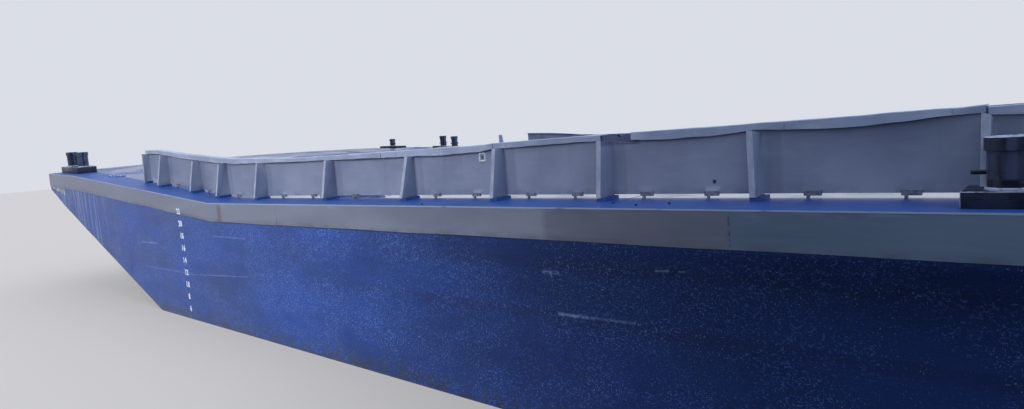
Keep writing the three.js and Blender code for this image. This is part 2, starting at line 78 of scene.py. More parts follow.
# Hull: welded steel plating over frames and stringers, flat bottom, raked ends.
# It is brushed with gloss cobalt blue, over old scale that leaves the paint pebbled.
# The plates have sunk a little between the stringers, so the stringers print through.
HALF_LENGTH = 16.75
HALF_BEAM = 5.0
DEPTH = 2.415
KNUCKLE = HALF_LENGTH - 8.515  # where the deck starts to climb to the bow
SHEER_EASE = HALF_LENGTH - 2.015
SHEER_RISE = 0.645
SHEER_EASE_RISE = 0.090
SHEER_SLOPE = (SHEER_RISE - SHEER_EASE_RISE) / (SHEER_EASE - KNUCKLE)
CAMBER = 0.080
CROWN_STRAKES = 15
STRAKE = 2 * HALF_BEAM / CROWN_STRAKES
WATERLINE = 0.5
PLATING_IN = 0.0083            # from the grey band's face in to the side plating's
EDGE_STRIP = 0.12              # outermost strip of the beam
FRAME_PITCH = 1.3
STRINGER_LOW = 0.565
STRINGER_PITCH = 0.455
PLATE_SINK = 0.0045
SUNK_FROM = 0.34               # the side is sunk from here up, over the bilge
SUNK_TO = 0.30                 # and to here under the deck edge
FLAT_BOTTOM = 4.6
TOUCHING = 1e-5


def deck_edge(x):
    climb = SHEER_SLOPE * (min(max(x, KNUCKLE), SHEER_EASE) - KNUCKLE)
    return DEPTH + climb + SHEER_EASE_RISE * max(0, x - SHEER_EASE) / (HALF_LENGTH - SHEER_EASE)


def crown(y):
    def rise(edge):
        return CAMBER * (1 - (edge / HALF_BEAM) ** 2)

    off = abs(y)
    if off <= STRAKE / 2:
        return rise(STRAKE / 2)
    inner = (min(math.floor(off / STRAKE - 0.5), (CROWN_STRAKES - 3) // 2) + 0.5) * STRAKE
    share = (off - inner) / STRAKE
    return rise(inner) * (1 - share) + rise(inner + STRAKE) * share


def deck_top(x, y):
    return deck_edge(x) + crown(y)


def merged_copy(node):
    """A bmesh of a CAD node with its loose triangles joined into whole faces."""
    work = bmesh.new()
    work.from_mesh(frame["nodes"][node].data)
    bmesh.ops.remove_doubles(work, verts=work.verts[:], dist=TOUCHING)
    bmesh.ops.dissolve_limit(work, angle_limit=math.radians(0.06), verts=work.verts[:], edges=work.edges[:])
    return work


def cut_plane(work, point, normal, keep=lambda face: True):
    """Cuts the faces along a plane."""
    faces = [face for face in work.faces if keep(face)]
    edges = {edge for face in faces for edge in face.edges}
    verts = {vert for face in faces for vert in face.verts}
    bmesh.ops.bisect_plane(work, geom=[*verts, *edges, *faces], dist=TOUCHING,
                           plane_co=point, plane_no=normal)


def cut_across(work, axis, places, keep=lambda face: True):
    """Cuts the faces along planes square to one axis."""
    for place in places:
        normal = Vector((0, 0, 0))
        normal[axis] = 1
        cut_plane(work, normal * place, normal, keep)


def steps(low, high, pitch):
    count = max(1, round((high - low) / pitch))
    return [low + (high - low) * i / count for i in range(1, count)]


def piece(name, work, finishes, body="barge", replaces=(), smooth_angle=35):
    """Makes a bmesh an object on a body, and gives its paint each point's height over the deck edge."""
    over_deck = work.verts.layers.float.new("over_deck")
    for vert in work.verts:
        vert[over_deck] = vert.co.z - deck_edge(vert.co.x)
    mesh = bpy.data.meshes.new(name)
    work.to_mesh(mesh)
    work.free()
    for finish in finishes:
        mesh.materials.append(finish.material)
    mesh.shade_smooth()
    mesh.set_sharp_from_angle(angle=math.radians(smooth_angle))
    made = bpy.data.objects.new(name, mesh)
    scene.collection.objects.link(made)
    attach(made, body)
    if replaces:
        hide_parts(*replaces)
    return made


def paint_node(node, finish):
    """Gives a finish to a CAD node that is shown as it is."""
    materials = frame["nodes"][node].data.materials
    materials.clear()
    materials.append(finish.material)


def nodes_named(*starts):
    return [row["node"] for row in frame["record"]["subparts"] if row["node"].startswith(starts)]


class Nodes:
    """Short words for the shader nodes that the barge's paints and its sky need."""

    def __init__(self, tree):
        self.tree = tree

    def feed(self, node, inputs):
        """Links each input from a socket, or sets it to a value."""
        for key, value in inputs.items():
            if isinstance(value, bpy.types.NodeSocket):
                self.tree.links.new(value, node.inputs[key])
            else:
                node.inputs[key].default_value = value

    def node(self, kind, inputs=(), **settings):
        made = self.tree.nodes.new("ShaderNode" + kind)
        for key, value in settings.items():
            setattr(made, key, value)
        self.feed(made, dict(inputs))
        return made

    def math(self, operation, first, second=0.0, clamp=False):
        return self.node("Math", {0: first, 1: second}, operation=operation, use_clamp=clamp).outputs[0]

    def times(self, product, *factors):
        for factor in factors:
            product = self.math("MULTIPLY", product, factor)
        return product

    def between(self, value, low, high, at_low=0.0, at_high=1.0):
        """0 at low and 1 at high, eased, or other ends."""
        return self.node("MapRange", {"Value": value, "From Min": low, "From Max": high, "To Min": at_low,
                                      "To Max": at_high}, interpolation_type="SMOOTHSTEP").outputs["Result"]

    def mix(self, share, first, second):
        """A colour that goes from the first to the second with the share."""
        first, second = ((*value, 1) if isinstance(value, tuple) else value for value in (first, second))
        return self.node("Mix", {0: share, 6: first, 7: second}, data_type="RGBA").outputs[2]

    def blend(self, share, first, second):
        """A number that goes from the first to the second with the share."""
        return self.node("Mix", {0: share, 2: first, 3: second}).outputs[0]


class Finish(Nodes):
    """A Principled material, made as paint is: a ground coat, then lays of other colours over it."""

    def __init__(self, name, roughness=0.5, metallic=0.0, coat=0.0, coat_roughness=0.2, specular=0.5):
        self.material = bpy.data.materials.new(name)
        self.material.use_nodes = True
        super().__init__(self.material.node_tree)
        self.shader = self.tree.nodes["Principled BSDF"]
        self.shade({"Roughness": roughness, "Metallic": metallic, "Coat Weight": coat,
                    "Coat Roughness": coat_roughness, "Specular IOR Level": specular})
        self.place = self.node("TexCoord").outputs["Object"]

    def shade(self, inputs):
        self.feed(self.shader, inputs)

    def colour(self, socket):
        self.base = socket
        self.shade({"Base Color": socket})

    def ground(self, share, dark, light, smooth=None, rough=None):
        """The first coat: it goes from dark to light, and from smooth to rough, with the share."""
        self.colour(self.mix(share, dark, light))
        if rough is not None:
            self.shade({"Roughness": self.blend(share, smooth, rough)})

    def cover(self, share, colour):
        """Covers the base colour with another one as the share says."""
        self.colour(self.mix(share, self.base, colour))

    def lay(self, colour, strength, *masks):
        """Covers the base colour at a strength, where every mask is 1."""
        self.cover(self.times(*masks, strength), colour)

    def noise(self, scale, detail=4, rough=0.55, stretch=(1, 1, 1), shift=0.0):
        where = self.node("Mapping", {"Vector": self.place, "Scale": stretch, "Location": [shift] * 3})
        return self.node("TexNoise", {"Vector": where.outputs[0], "Scale": scale, "Detail": detail,
                                      "Roughness": rough}).outputs["Fac"]

    def patches(self, low, high, scale, **shape):
        """A noise as a mask: 0 where it is under low and 1 where it is over high."""
        return self.between(self.noise(scale, **shape), low, high)

    def cells(self, scale):
        return self.node("TexVoronoi", {"Vector": self.place, "Scale": scale}).outputs["Distance"]

    def along(self, way):
        """The place along X, Y or Z, or the height over the deck edge."""
        if way == "over_deck":
            return self.node("Attribute", attribute_name=way).outputs["Fac"]
        return self.node("SeparateXYZ", {0: self.place}).outputs[way]

    def ramp(self, way, low, high):
        return self.between(self.along(way), low, high)

    def near(self, way, middle, half, gone=None):
        """1 within half of the middle, easing to 0 at gone, or at half as much again."""
        away = self.math("ABSOLUTE", self.math("SUBTRACT", self.along(way), middle))
        return self.between(away, gone or 1.5 * half, half)

    def away_from(self, points):
        """Distance from a run of points in the X and Z plane."""
        def vector(operation, first, second):
            return self.node("VectorMath", {0: first, 1: second}, operation=operation).outputs

        flat = vector("MULTIPLY", self.place, (1, 0, 1))[0]
        nearest = None
        for (x0, z0), (x1, z1) in zip(points, points[1:]):
            run = Vector((x1 - x0, 0, z1 - z0))
            past = vector("SUBTRACT", flat, (x0, 0, z0))[0]
            share = vector("DOT_PRODUCT", past, run / run.length_squared)["Value"]
            share = self.math("ADD", share, 0.0, clamp=True)
            foot = self.node("VectorMath", {0: run, "Scale": share}, operation="SCALE").outputs[0]
            away = vector("DISTANCE", past, foot)["Value"]
            nearest = away if nearest is None else self.math("MINIMUM", nearest, away)
        return nearest

    def bumps(self, *layers):
        """Each layer is a height and its depth in metres, coarse first."""
        normal = {}
        for height, depth in layers:
            made = self.node("Bump", {"Height": height, "Distance": depth, "Strength": 1.0, **normal})
            normal = {"Normal": made.outputs["Normal"]}
        self.shade(normal)


# Scrapes on the port side, each a run of points in metres along and up, its half-width and its strength.
SCRAPES = (
    (((11.165, 1.256), (9.05, 1.262), (7.218, 1.373)), 0.006, 0.35),
    (((11.204, 1.693), (10.492, 1.708)), 0.011, 0.45),
    (((8.222, 1.919), (7.202, 1.916)), 0.009, 0.30),
    (((1.80, 1.857), (1.64, 1.860)), 0.012, 0.70),
    (((1.73, 1.858), (1.71, 1.825)), 0.009, 0.60),
    (((1.66, 1.505), (1.46, 1.508), (1.33, 1.510)), 0.012, 0.85),
    (((1.33, 1.510), (1.12, 1.514), (0.92, 1.518)), 0.010, 0.50),
    (((0.705, 1.946), (0.600, 1.954)), 0.008, 0.90),
    (((0.515, 1.953), (0.465, 1.957)), 0.006, 0.55),
)
STRINGER_PAINTED_SHADES = (1.475, 1.93)

hull_blue = Finish("hull_gloss_blue", coat=0.45, coat_roughness=0.22, specular=0.45)
hull_cloud = hull_blue.noise(1.1, detail=5, stretch=(0.5, 1, 1.2), shift=3)
hull_brush = hull_blue.noise(9, stretch=(0.35, 1, 2.2))
hull_blue.ground(hull_blue.between(hull_cloud, 0.3, 0.7), (0.004, 0.033, 0.165), (0.006, 0.048, 0.245),
                 0.34, 0.50)
hull_blue.lay((0.012, 0.064, 0.300), 0.30, hull_blue.between(hull_brush, 0.5, 0.75))
# Painted shade: dark bands along two stringers, aft of the bow, stand in for the shading where the plating
# sinks between them.
for level in STRINGER_PAINTED_SHADES:
    hull_blue.lay((0.003, 0.016, 0.085), 0.28, hull_blue.near("Z", level, 0.040),
                  hull_blue.ramp("X", 6.0, 3.0))
# Pale runs down from the deck edge, and stronger ones at the bow.
hull_blue.lay((0.12, 0.18, 0.40), 0.10, hull_blue.ramp("Z", 1.0, 2.6),
              hull_blue.patches(0.60, 0.74, 3.2, detail=3, stretch=(4.5, 4.5, 0.28), shift=7))
hull_blue.lay((0.24, 0.29, 0.42), 0.40, hull_blue.ramp("X", 11.8, 14.0),
              hull_blue.patches(0.52, 0.62, 2.4, detail=3, stretch=(5, 5, 0.25), shift=12))
# Painted glints: pale specks and flecks in patches stand in for the sparkle of the pebbled gloss paint.
hull_blue.lay((0.110, 0.205, 0.61), 0.70,
              hull_blue.patches(0.55, 0.63, 64, detail=3, rough=0.7, stretch=(0.75, 1, 1.15), shift=5),
              hull_blue.patches(0.34, 0.60, 1.5, detail=3, stretch=(0.6, 1, 1.6), shift=9))
hull_blue.lay((0.34, 0.44, 0.72), 0.75, hull_blue.patches(0.63, 0.70, 84, detail=2, shift=21),
              hull_blue.patches(0.36, 0.58, 1.9, detail=2, shift=23))
# Dull growth along the waterline.
hull_blue.lay((0.035, 0.040, 0.028), 0.75, hull_blue.ramp("Z", WATERLINE + 0.30, WATERLINE - 0.05),
              hull_blue.patches(0.35, 0.6, 6, shift=1))
# The scrapes, ragged and broken, on the port side only.
ragged_edge = hull_blue.noise(30, detail=3, shift=17)
broken = hull_blue.patches(0.30, 0.58, 38, detail=5, stretch=(0.6, 1, 1), shift=15)
to_port = hull_blue.ramp("Y", 4.0, 4.5)
for points, half_width, strength in SCRAPES:
    away = hull_blue.math("ADD", hull_blue.away_from(points), hull_blue.times(ragged_edge, half_width))
    hull_blue.lay((0.32, 0.40, 0.66), strength, hull_blue.between(away, 2.4 * half_width, 0.5 * half_width),
                  broken, to_port)
# Painted shadow: a dark line on the blue just under the grey band's foot.
hull_blue.lay((0.004, 0.010, 0.040), 0.65, hull_blue.ramp("over_deck", -0.300, -0.282))
hull_blue.bumps((hull_cloud, 0.006), (hull_blue.cells(38), 0.0020),
                (hull_blue.noise(58, detail=3, rough=0.7), 0.0040), (hull_brush, 0.0012))

corner_grey = Finish("corner_streaked_grey", roughness=0.45)
corner_grey.ground(corner_grey.patches(0.52, 0.62, 9, stretch=(3, 3, 0.35), shift=2),
                   (0.15, 0.165, 0.20), (0.62, 0.64, 0.66))
corner_grey.bumps((corner_grey.noise(5, detail=5, stretch=(1, 1, 0.4)), 0.004))

CORNER_START = HALF_LENGTH - 1.215
CORNER_DEEP = 0.46             # depth of the grey corner under the deck edge where it starts
CORNER_SHALLOW = 0.31          # and at the bow


def sunk(place, low, pitch):
    """0 on a stiffener and 1 midway to the next."""
    return math.sin(math.pi * (place - low) / pitch) ** 2


def side_sink(x, z, sign):
    """How far the side's plating has sunk at a place, with its own depth in each panel."""
    if not SUNK_FROM < z < deck_edge(x) - SUNK_TO:
        return 0
    panel = (math.floor(x / FRAME_PITCH), math.floor((z - STRINGER_LOW) / STRINGER_PITCH), sign)
    depth = PLATE_SINK * random.Random("%d %d %d" % panel).uniform(0.6, 1.7)
    return depth * sunk(z, STRINGER_LOW, STRINGER_PITCH) * (0.35 + 0.65 * sunk(x, 0, FRAME_PITCH))


plating = merged_copy("hull")
cut_across(plating, 0, steps(-HALF_LENGTH, HALF_LENGTH, FRAME_PITCH / 6))
side_levels = steps(STRINGER_LOW - STRINGER_PITCH, STRINGER_LOW + 4 * STRINGER_PITCH, STRINGER_PITCH / 4)
cut_across(plating, 2, side_levels, keep=lambda face: abs(face.normal.y) > 0.9)
cut_across(plating, 1, steps(-HALF_BEAM, HALF_BEAM, STRAKE / 2), keep=lambda face: face.normal.z < -0.5)
corner_low = Vector((CORNER_START, 0, deck_edge(CORNER_START) - CORNER_DEEP))
corner_high = Vector((HALF_LENGTH, 0, deck_edge(HALF_LENGTH) - CORNER_SHALLOW))
corner_normal = Vector((corner_low.z - corner_high.z, 0, corner_high.x - corner_low.x)).normalized()
cut_plane(plating, corner_low, corner_normal, keep=lambda face: face.calc_center_median().x > CORNER_START)
for face in plating.faces:
    middle = face.calc_center_median()
    if middle.x > CORNER_START and abs(face.normal.y) > 0.8 and (middle - corner_low).dot(corner_normal) > 0:
        face.material_index = 1
for vert in plating.verts:
    x, y, z = vert.co
    if abs(y) > HALF_BEAM - EDGE_STRIP:
        vert.co.y -= math.copysign(side_sink(x, z, math.copysign(1, y)), y)
    elif vert.normal.z < -0.3 and abs(y) < FLAT_BOTTOM:
        vert.co.z += PLATE_SINK * sunk(y, STRAKE / 2, STRAKE) * sunk(x, 0, FRAME_PITCH)
piece("hull_plating", plating, [hull_blue, corner_grey], replaces=["hull"],
      smooth_angle=24)
paint_node("skeg_port", hull_blue)
paint_node("skeg_stbd", hull_blue)


# Butt welds of the side plating: one raised bead across the side at the end of each plate, painted over.
# It follows the plating as that sinks between the stringers.
# Each weld's station and the height of its bead's foot.
PLATE_BUTTS = ((-12.15, 0.42), (-5.9, 0.42), (0.118, 0.42), (6.25, 0.42), (11.9, 1.02))
BEAD = 0.0028
BEAD_IN = PLATING_IN + 0.0013  # from the band's face in to the bead's middle
BEAD_TOP = 0.27                # under the deck edge


def rod(work, points, radius, sides=6):
    """Closed round bars end to end along a run of points."""
    for start, end in zip(points, points[1:]):
        start = Vector(start)
        run = Vector(end) - start
        place = Matrix.Translation(start + run / 2) @ run.to_track_quat("Z", "X").to_matrix().to_4x4()
        bmesh.ops.create_cone(work, cap_ends=True, segments=sides, radius1=radius, radius2=radius,
                              depth=run.length, matrix=place)


def pin(work, x, y, low, high, radius, sides=12):
    """An upright round bar."""
    rod(work, [(x, y, low), (x, y, high)], radius, sides)


beads = bmesh.new()
for x, low in PLATE_BUTTS:
    for sign in (1, -1):
        high = deck_edge(x) - BEAD_TOP
        rod(beads, [(x, sign * (HALF_BEAM - BEAD_IN - side_sink(x, z, sign)), z)
                    for z in (low, *steps(low, high, STRINGER_PITCH / 4), high)], BEAD)
piece("side_butt_welds", beads, [hull_blue])


# Draft marks: white brushed figures, even decimetres, on both bows and both quarters.
# They are painted over a stencil on the plating, so they follow its dishing.
MARK_NUMBERS = range(6, 24, 2)
MARK_STATIONS = (9.39, -11.4)
MARK_HEIGHT = 0.09
MARK_FOOT = 0.033              # each figure's foot over its level
FIGURE_SHARE = 0.70            # a figure's height in its type size
BAND_FOOT = 0.285              # under the deck edge

mark_white = Finish("mark_white", roughness=0.5)
mark_white.ground(mark_white.patches(0.34, 0.42, 60, detail=3), (0.30, 0.36, 0.52), (0.74, 0.76, 0.78))

marks = bmesh.new()
for x in MARK_STATIONS:
    for sign in (1, -1):
        for number in MARK_NUMBERS:
            words = bpy.data.curves.new("mark", "FONT")
            words.body = str(number)
            words.size = MARK_HEIGHT / FIGURE_SHARE
            words.space_character = 1.15
            words.align_x = "CENTER"
            words.extrude = 0.0008
            words.offset = 0.004
            words.resolution_u = 3
            holder = bpy.data.objects.new("mark", words)
            figure = bpy.data.meshes.new_from_object(holder)
            figure.transform(Matrix.Rotation(math.radians(180 if sign > 0 else 0), 4, "Z")
                             @ Matrix.Rotation(math.radians(90), 4, "X"))
            figure.transform(Matrix.Translation((x, 0, number * 0.1 + MARK_FOOT)))
            start = len(marks.verts)
            marks.from_mesh(figure)
            marks.verts.ensure_lookup_table()
            for vert in marks.verts[start:]:
                on_band = vert.co.z > deck_edge(vert.co.x) - BAND_FOOT
                out = 0.0004 if on_band else -PLATING_IN - side_sink(vert.co.x, vert.co.z, sign)
                vert.co.y += sign * (HALF_BEAM + out)
            bpy.data.objects.remove(holder)
            bpy.data.curves.remove(words)
            bpy.data.meshes.remove(figure)
bmesh.ops.remove_doubles(marks, verts=marks.verts[:], dist=TOUCHING)
piece("draft_marks", marks, [mark_white])


# Sheer band: a flat steel strake welded along the top of the side, and like plates on bow and transom.
# Brushed satin mid grey down to a hand-cut line, rubbed along its upper edge and stained where rust runs.
STAIN = 7.91
TONE_STEPS = (0.118, 1.75)     # the band was painted in three lots, lighter and warmer going forward
FOOT_WAVE = 0.0035
FACE_WAVE = 0.0022
SEAM_BLOBS = 7

band_grey = Finish("band_satin_grey", coat=0.12, coat_roughness=0.3)
band_cloud = band_grey.noise(1.6, detail=5, stretch=(0.4, 1, 1.5))
band_brush = band_grey.noise(12, stretch=(0.16, 1, 3))
band_cloudy = band_grey.between(band_cloud, 0.3, 0.7)
band_grey.ground(band_cloudy, (0.084, 0.114, 0.156), (0.112, 0.147, 0.196), 0.36, 0.52)
band_grey.cover(band_grey.ramp("X", TONE_STEPS[0] - 0.01, TONE_STEPS[0] + 0.03),
                band_grey.mix(band_cloudy, (0.104, 0.108, 0.136), (0.132, 0.136, 0.166)))
band_grey.cover(band_grey.ramp("X", TONE_STEPS[1] - 0.05, TONE_STEPS[1] + 0.05),
                band_grey.mix(band_cloudy, (0.145, 0.152, 0.192), (0.188, 0.194, 0.236)))
band_grey.lay((0.19, 0.205, 0.24), 0.15, band_grey.between(band_brush, 0.5, 0.75))
band_grey.lay((0.085, 0.055, 0.038), 0.16,
              band_grey.patches(0.62, 0.74, 2.6, detail=3, stretch=(3.5, 3.5, 0.12), shift=4))
band_grey.lay((0.10, 0.052, 0.028), 0.55, band_grey.near("X", STAIN, 0.02, gone=0.10),
              band_grey.ramp("Y", 0, 1))
# Rubbed light along the upper edge, dark along the foot, and pale runs at the bow's tip.
band_grey.lay((0.33, 0.35, 0.39), 0.18, band_grey.ramp("over_deck", -0.09, -0.012),
              band_grey.patches(0.53, 0.66, 9, stretch=(0.35, 1, 1.6), shift=2))
band_grey.lay((0.055, 0.060, 0.080), 0.45, band_grey.ramp("over_deck", -0.21, -0.275),
              band_grey.patches(0.4, 0.65, 7, stretch=(0.4, 1, 1), shift=8))
band_grey.lay((0.34, 0.36, 0.42), 0.35, band_grey.ramp("X", HALF_LENGTH - 1.5, HALF_LENGTH - 0.7),
              band_grey.patches(0.50, 0.62, 9, stretch=(3, 3, 0.35), shift=2))
# Painted shade in the gaps between the blobs of the seam at the first change of tone.
band_grey.lay((0.030, 0.036, 0.050), 0.60, band_grey.near("X", TONE_STEPS[0], 0.006),
              band_grey.patches(0.47, 0.53, 30, detail=0, stretch=(0, 0, 1), shift=31))
band_grey.bumps((band_cloud, 0.004), (band_brush, 0.0009), (band_grey.noise(95, detail=3), 0.0006))

for node in ("sheer_strake_port", "sheer_strake_stbd", "headlog_plate", "transom_band"):
    band = merged_copy(node)
    if node.startswith("sheer"):
        cut_across(band, 0, steps(-HALF_LENGTH, HALF_LENGTH, FRAME_PITCH / 6))
    else:
        cut_across(band, 1, steps(-HALF_BEAM, HALF_BEAM, STRAKE / 2))
    for vert in band.verts:
        x, y, z = vert.co
        hung = 1 if z < deck_edge(x) - 0.2 else 0
        vert.co.z += FOOT_WAVE * hung * math.sin(3.1 * (x + y)) * math.sin(0.9 * x - y)
        if abs(y) > HALF_BEAM - 0.0045:
            vert.co.y -= math.copysign(FACE_WAVE * (1 + math.sin(2.3 * x + 3 * hung) * math.sin(0.7 * x)), y)
    piece(node + "_painted", band, [band_grey], replaces=[node])

band_seam = bmesh.new()
for x, foot in PLATE_BUTTS[:4]:
    for sign in (1, -1):
        low, high = deck_edge(x) - 0.258, deck_edge(x) - 0.018
        pin(band_seam, x, sign * (HALF_BEAM - 0.0026), low, high, 0.0045, sides=6)
        for step in range(SEAM_BLOBS):
            z = low + (high - low) * (step + 0.5) / SEAM_BLOBS
            bmesh.ops.create_uvsphere(band_seam, u_segments=8, v_segments=6, radius=0.0075,
                                      matrix=Matrix.Translation((x, sign * (HALF_BEAM - 0.0045), z)))
piece("band_butt_welds", band_seam, [band_grey])


# Deck plating: three lengths of steel plate, welded down over beams and longitudinals.
# Glossy blue deck paint; the plates have sunk between the beams and hold the wet, and the edge is worn bare.
BOARD_Y = HALF_BEAM - 0.515    # outer face of the side boards
DECK_SINK = 0.0055
STANDING = 0.09                # a strip round each fitting that hasn't sunk
CLEAR = 0.25                   # and past it the plate sinks in full over this much
DECK_BEAD = 0.005
DECK_BEAD_IN = 0.002
BEADS_ACROSS = (-13.2, -9.6, -6.0, -2.4, 1.2, 4.8, 11.2, 14.0)
BEADS_ALONG = (-3.0, -1.0, 1.0, 3.0)

deck_blue = Finish("deck_gloss_blue", coat_roughness=0.05, specular=0.35)
deck_cloud = deck_blue.noise(0.9, detail=5, shift=2)
deck_brush = deck_blue.noise(8, stretch=(0.3, 1.6, 1))
deck_blue.ground(deck_blue.between(deck_cloud, 0.3, 0.7), (0.011, 0.047, 0.180), (0.017, 0.063, 0.232))
deck_blue.lay((0.028, 0.084, 0.255), 0.4, deck_blue.between(deck_brush, 0.5, 0.75))
# Walked dull between the boards, and chipped.
deck_blue.lay((0.110, 0.135, 0.190), 0.55, deck_blue.near("Y", 0.0, 3.9, gone=4.4),
              deck_blue.patches(0.52, 0.66, 1.3, detail=6, rough=0.7, shift=6))
deck_blue.lay((0.085, 0.045, 0.030), 0.8, deck_blue.patches(0.68, 0.72, 17, detail=5, rough=0.65, shift=11))
# Wet inboard, with puddles aft of the climb.
inboard = deck_blue.near("Y", 0.0, 4.42, gone=4.50)
wet = deck_blue.times(inboard, deck_blue.between(deck_cloud, 0.35, 0.55))
puddled = deck_blue.times(inboard, deck_blue.ramp("X", KNUCKLE + 1.5, KNUCKLE - 3.0),
                          deck_blue.between(deck_cloud, 0.15, 0.50))
deck_blue.shade({"Coat Weight": puddled, "Roughness": deck_blue.blend(wet, 0.46, 0.20)})
deck_blue.bumps((deck_cloud, 0.010), (deck_blue.noise(5, shift=3), 0.004), (deck_brush, 0.0008),
                (deck_blue.noise(90, detail=3), 0.0007))

bare_edge = Finish("deck_edge_worn", roughness=0.4, metallic=0.3)
edge_wear = bare_edge.noise(7, detail=5, stretch=(0.5, 1, 1))
bare_edge.ground(bare_edge.between(edge_wear, 0.26, 0.40), (0.10, 0.16, 0.36), (0.36, 0.41, 0.52))
bare_edge.bumps((edge_wear, 0.002))

standing = [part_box(node) for node in nodes_named("hatch_coaming", "manhole", "bitts")]


def stands_clear(x, y):
    """0 under a fitting or a side board's foot, and 1 well away from them."""
    nearest = abs(abs(y) - BOARD_Y + 0.1) - 0.2
    for low, high in standing:
        nearest = min(nearest, max(low[0] - x, x - high[0], low[1] - y, y - high[1]))
    return min(1, max(0, nearest - STANDING) / CLEAR)


for node in ("deck_aft", "deck_main", "deck_fore"):
    deck = merged_copy(node)
    low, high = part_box(node)
    cut_across(deck, 0, steps(low[0], high[0], FRAME_PITCH / 4), keep=lambda face: face.normal.z > 0.9)
    cut_across(deck, 1, steps(-HALF_BEAM, HALF_BEAM, STRAKE / 2), keep=lambda face: face.normal.z > 0.9)
    for face in deck.faces:
        face.material_index = 1 if abs(face.normal.z) < 0.5 else 0
    for vert in deck.verts:
        x, y, z = vert.co
        if abs(y) < HALF_BEAM - EDGE_STRIP and abs(x) < HALF_LENGTH - 0.1 and z > deck_top(x, y) - 0.004:
            dished = sunk(x, 0, FRAME_PITCH) * (0.4 + 0.6 * sunk(y, STRAKE / 2, STRAKE))
            vert.co.z -= DECK_SINK * dished * stands_clear(x, y)
    piece(node + "_painted", deck, [deck_blue, bare_edge], replaces=[node],
          smooth_angle=20)

deck_beads = bmesh.new()
for run in ([[(x, y) for y in (-4.9, *steps(-HALF_BEAM, HALF_BEAM, STRAKE), 4.9)] for x in BEADS_ACROSS]
            + [[(x, y) for x in (-16.6, -10, 0, KNUCKLE, SHEER_EASE, 16.6)] for y in BEADS_ALONG]):
    rod(deck_beads, [(x, y, deck_top(x, y) - DECK_BEAD_IN) for x, y in run], DECK_BEAD)
piece("deck_welds", deck_beads, [deck_blue])


# Side boards: light steel plate stood on edge, on tapered brackets outside, each a web and a folded flange.
# Satin blue grey. Cargo has pushed every bay inboard of its brackets, and the foot is darker and rusty.
BOARD_PLATE = 0.010
BOARD_SLIT = 0.035
BOARD_HEIGHT = 0.548
WEB_AHEADS = (2.68, 1.33, 0.37, -0.86, -2.65, -4.235, -5.615, -6.865, -8.16, -9.53)
FAIR_TOP = 0.556
FAIR_LENGTH = 1.7
FAIR_RISE = 0.050
STBD_LOWER = 0.058
# Height of the cap rail over its fair line, from forward to aft.
TOP_LINE = ((11.80, 0.0), (11.27, 0.027), (10.35, 0.002), (8.91, -0.004), (8.07, 0.009), (6.47, -0.002),
            (4.10, -0.013), (3.56, -0.009), (2.91, -0.020), (2.71, -0.006), (1.45, -0.003), (0.37, -0.007),
            (-0.47, -0.008), (-0.74, -0.003), (-1.14, -0.006), (-1.264, 0.002), (-1.278, -0.014),
            (-1.44, -0.011), (-2.60, -0.004), (-4.0, -0.012))
STBD_LINE = ((9.93, 0.012), (9.18, 0.030), (8.46, 0.026), (7.71, -0.004), (6.5, -0.008))
# How much shallower the port cap's lip has been beaten, from forward to aft; the brackets end against it.
LIP_LINE = ((11.80, 0.0), (9.49, -0.022), (8.15, -0.016), (6.46, 0.015), (4.15, -0.004), (3.57, -0.018),
            (2.92, 0.003), (2.71, 0.010), (1.46, 0.014), (0.84, -0.010), (0.37, 0.0), (0.14, 0.017),
            (-0.47, -0.008), (-0.83, 0.001), (-1.14, 0.024), (-1.264, 0.020), (-1.278, 0.019), (-1.44, 0.009),
            (-2.6, 0.004), (-4.0, 0.0))
# Brackets that stand out of line: station, and its reach under the cap and at the deck.
WEB_HEAD = 0.112
WEB_FOOT = 0.212
BENT_WEBS = ((KNUCKLE - 4.235, 0.080, 0.217), (KNUCKLE - 5.615, 0.117, 0.210),
             (KNUCKLE - 6.865, 0.155, 0.210), (KNUCKLE - 8.16, 0.094, 0.158))
KINKED = KNUCKLE - 8.16
# A crease in the port board: station and height of its foot and of its head, half its width, and its depth.
CREASE_FOOT = (0.543, 2.71)
CREASE_HEAD = (0.584, 2.87)
CREASE_HALF = 0.022
CREASE_DEEP = 0.006
NOTCH = 1.255                  # in the edge that has lost its cap
WEB_PITCH = 1.3                # aft of the last station in WEB_AHEADS
web_stations = [KNUCKLE + ahead for ahead in WEB_AHEADS]
web_stations += [web_stations[-1] - WEB_PITCH * step for step in range(1, 11)]
board_ends = {1: KNUCKLE + 3.56, -1: KNUCKLE + 1.72}


def along_line(points, x):
    """Height of a measured line at x; its points run from forward to aft."""
    for (fore, above), (aft, below) in zip(points, points[1:]):
        if aft <= x <= fore:
            return below + (above - below) * (x - aft) / (fore - aft)
    return points[0][1] if x > points[0][0] else points[-1][1]


def sag(x, sign):
    """Height of the cap rail over its fair line; past the measured part it wanders a little."""
    line = TOP_LINE if sign > 0 else STBD_LINE
    aft, height = line[-1]
    if x > aft:
        return along_line(line, x)
    return height + 0.004 * math.sin(1.3 * (x - aft)) - 0.004 * math.sin(3.7 * (aft - x))


def beaten(x, sign):
    if sign > 0 and x > LIP_LINE[-1][0]:
        return along_line(LIP_LINE, x)
    return 0.010 * math.sin(1.7 * x) * math.sin(4.3 * x)


def bracket_shift(x, share, sign):
    """How much farther out than drawn a bracket stands, as a share of its reach."""
    for station, head, foot in BENT_WEBS:
        if sign > 0 and abs(x - station) < 0.07:
            return (foot + (head - foot) * share) / (WEB_FOOT + (WEB_HEAD - WEB_FOOT) * share) - 1
    return 0


def fair_top(x, sign):
    height = FAIR_TOP - (STBD_LOWER if sign < 0 else 0)
    climbed = min(1, max(0, (x - KNUCKLE + FAIR_LENGTH) / FAIR_LENGTH))
    return deck_top(x, BOARD_Y) + height + FAIR_RISE * climbed


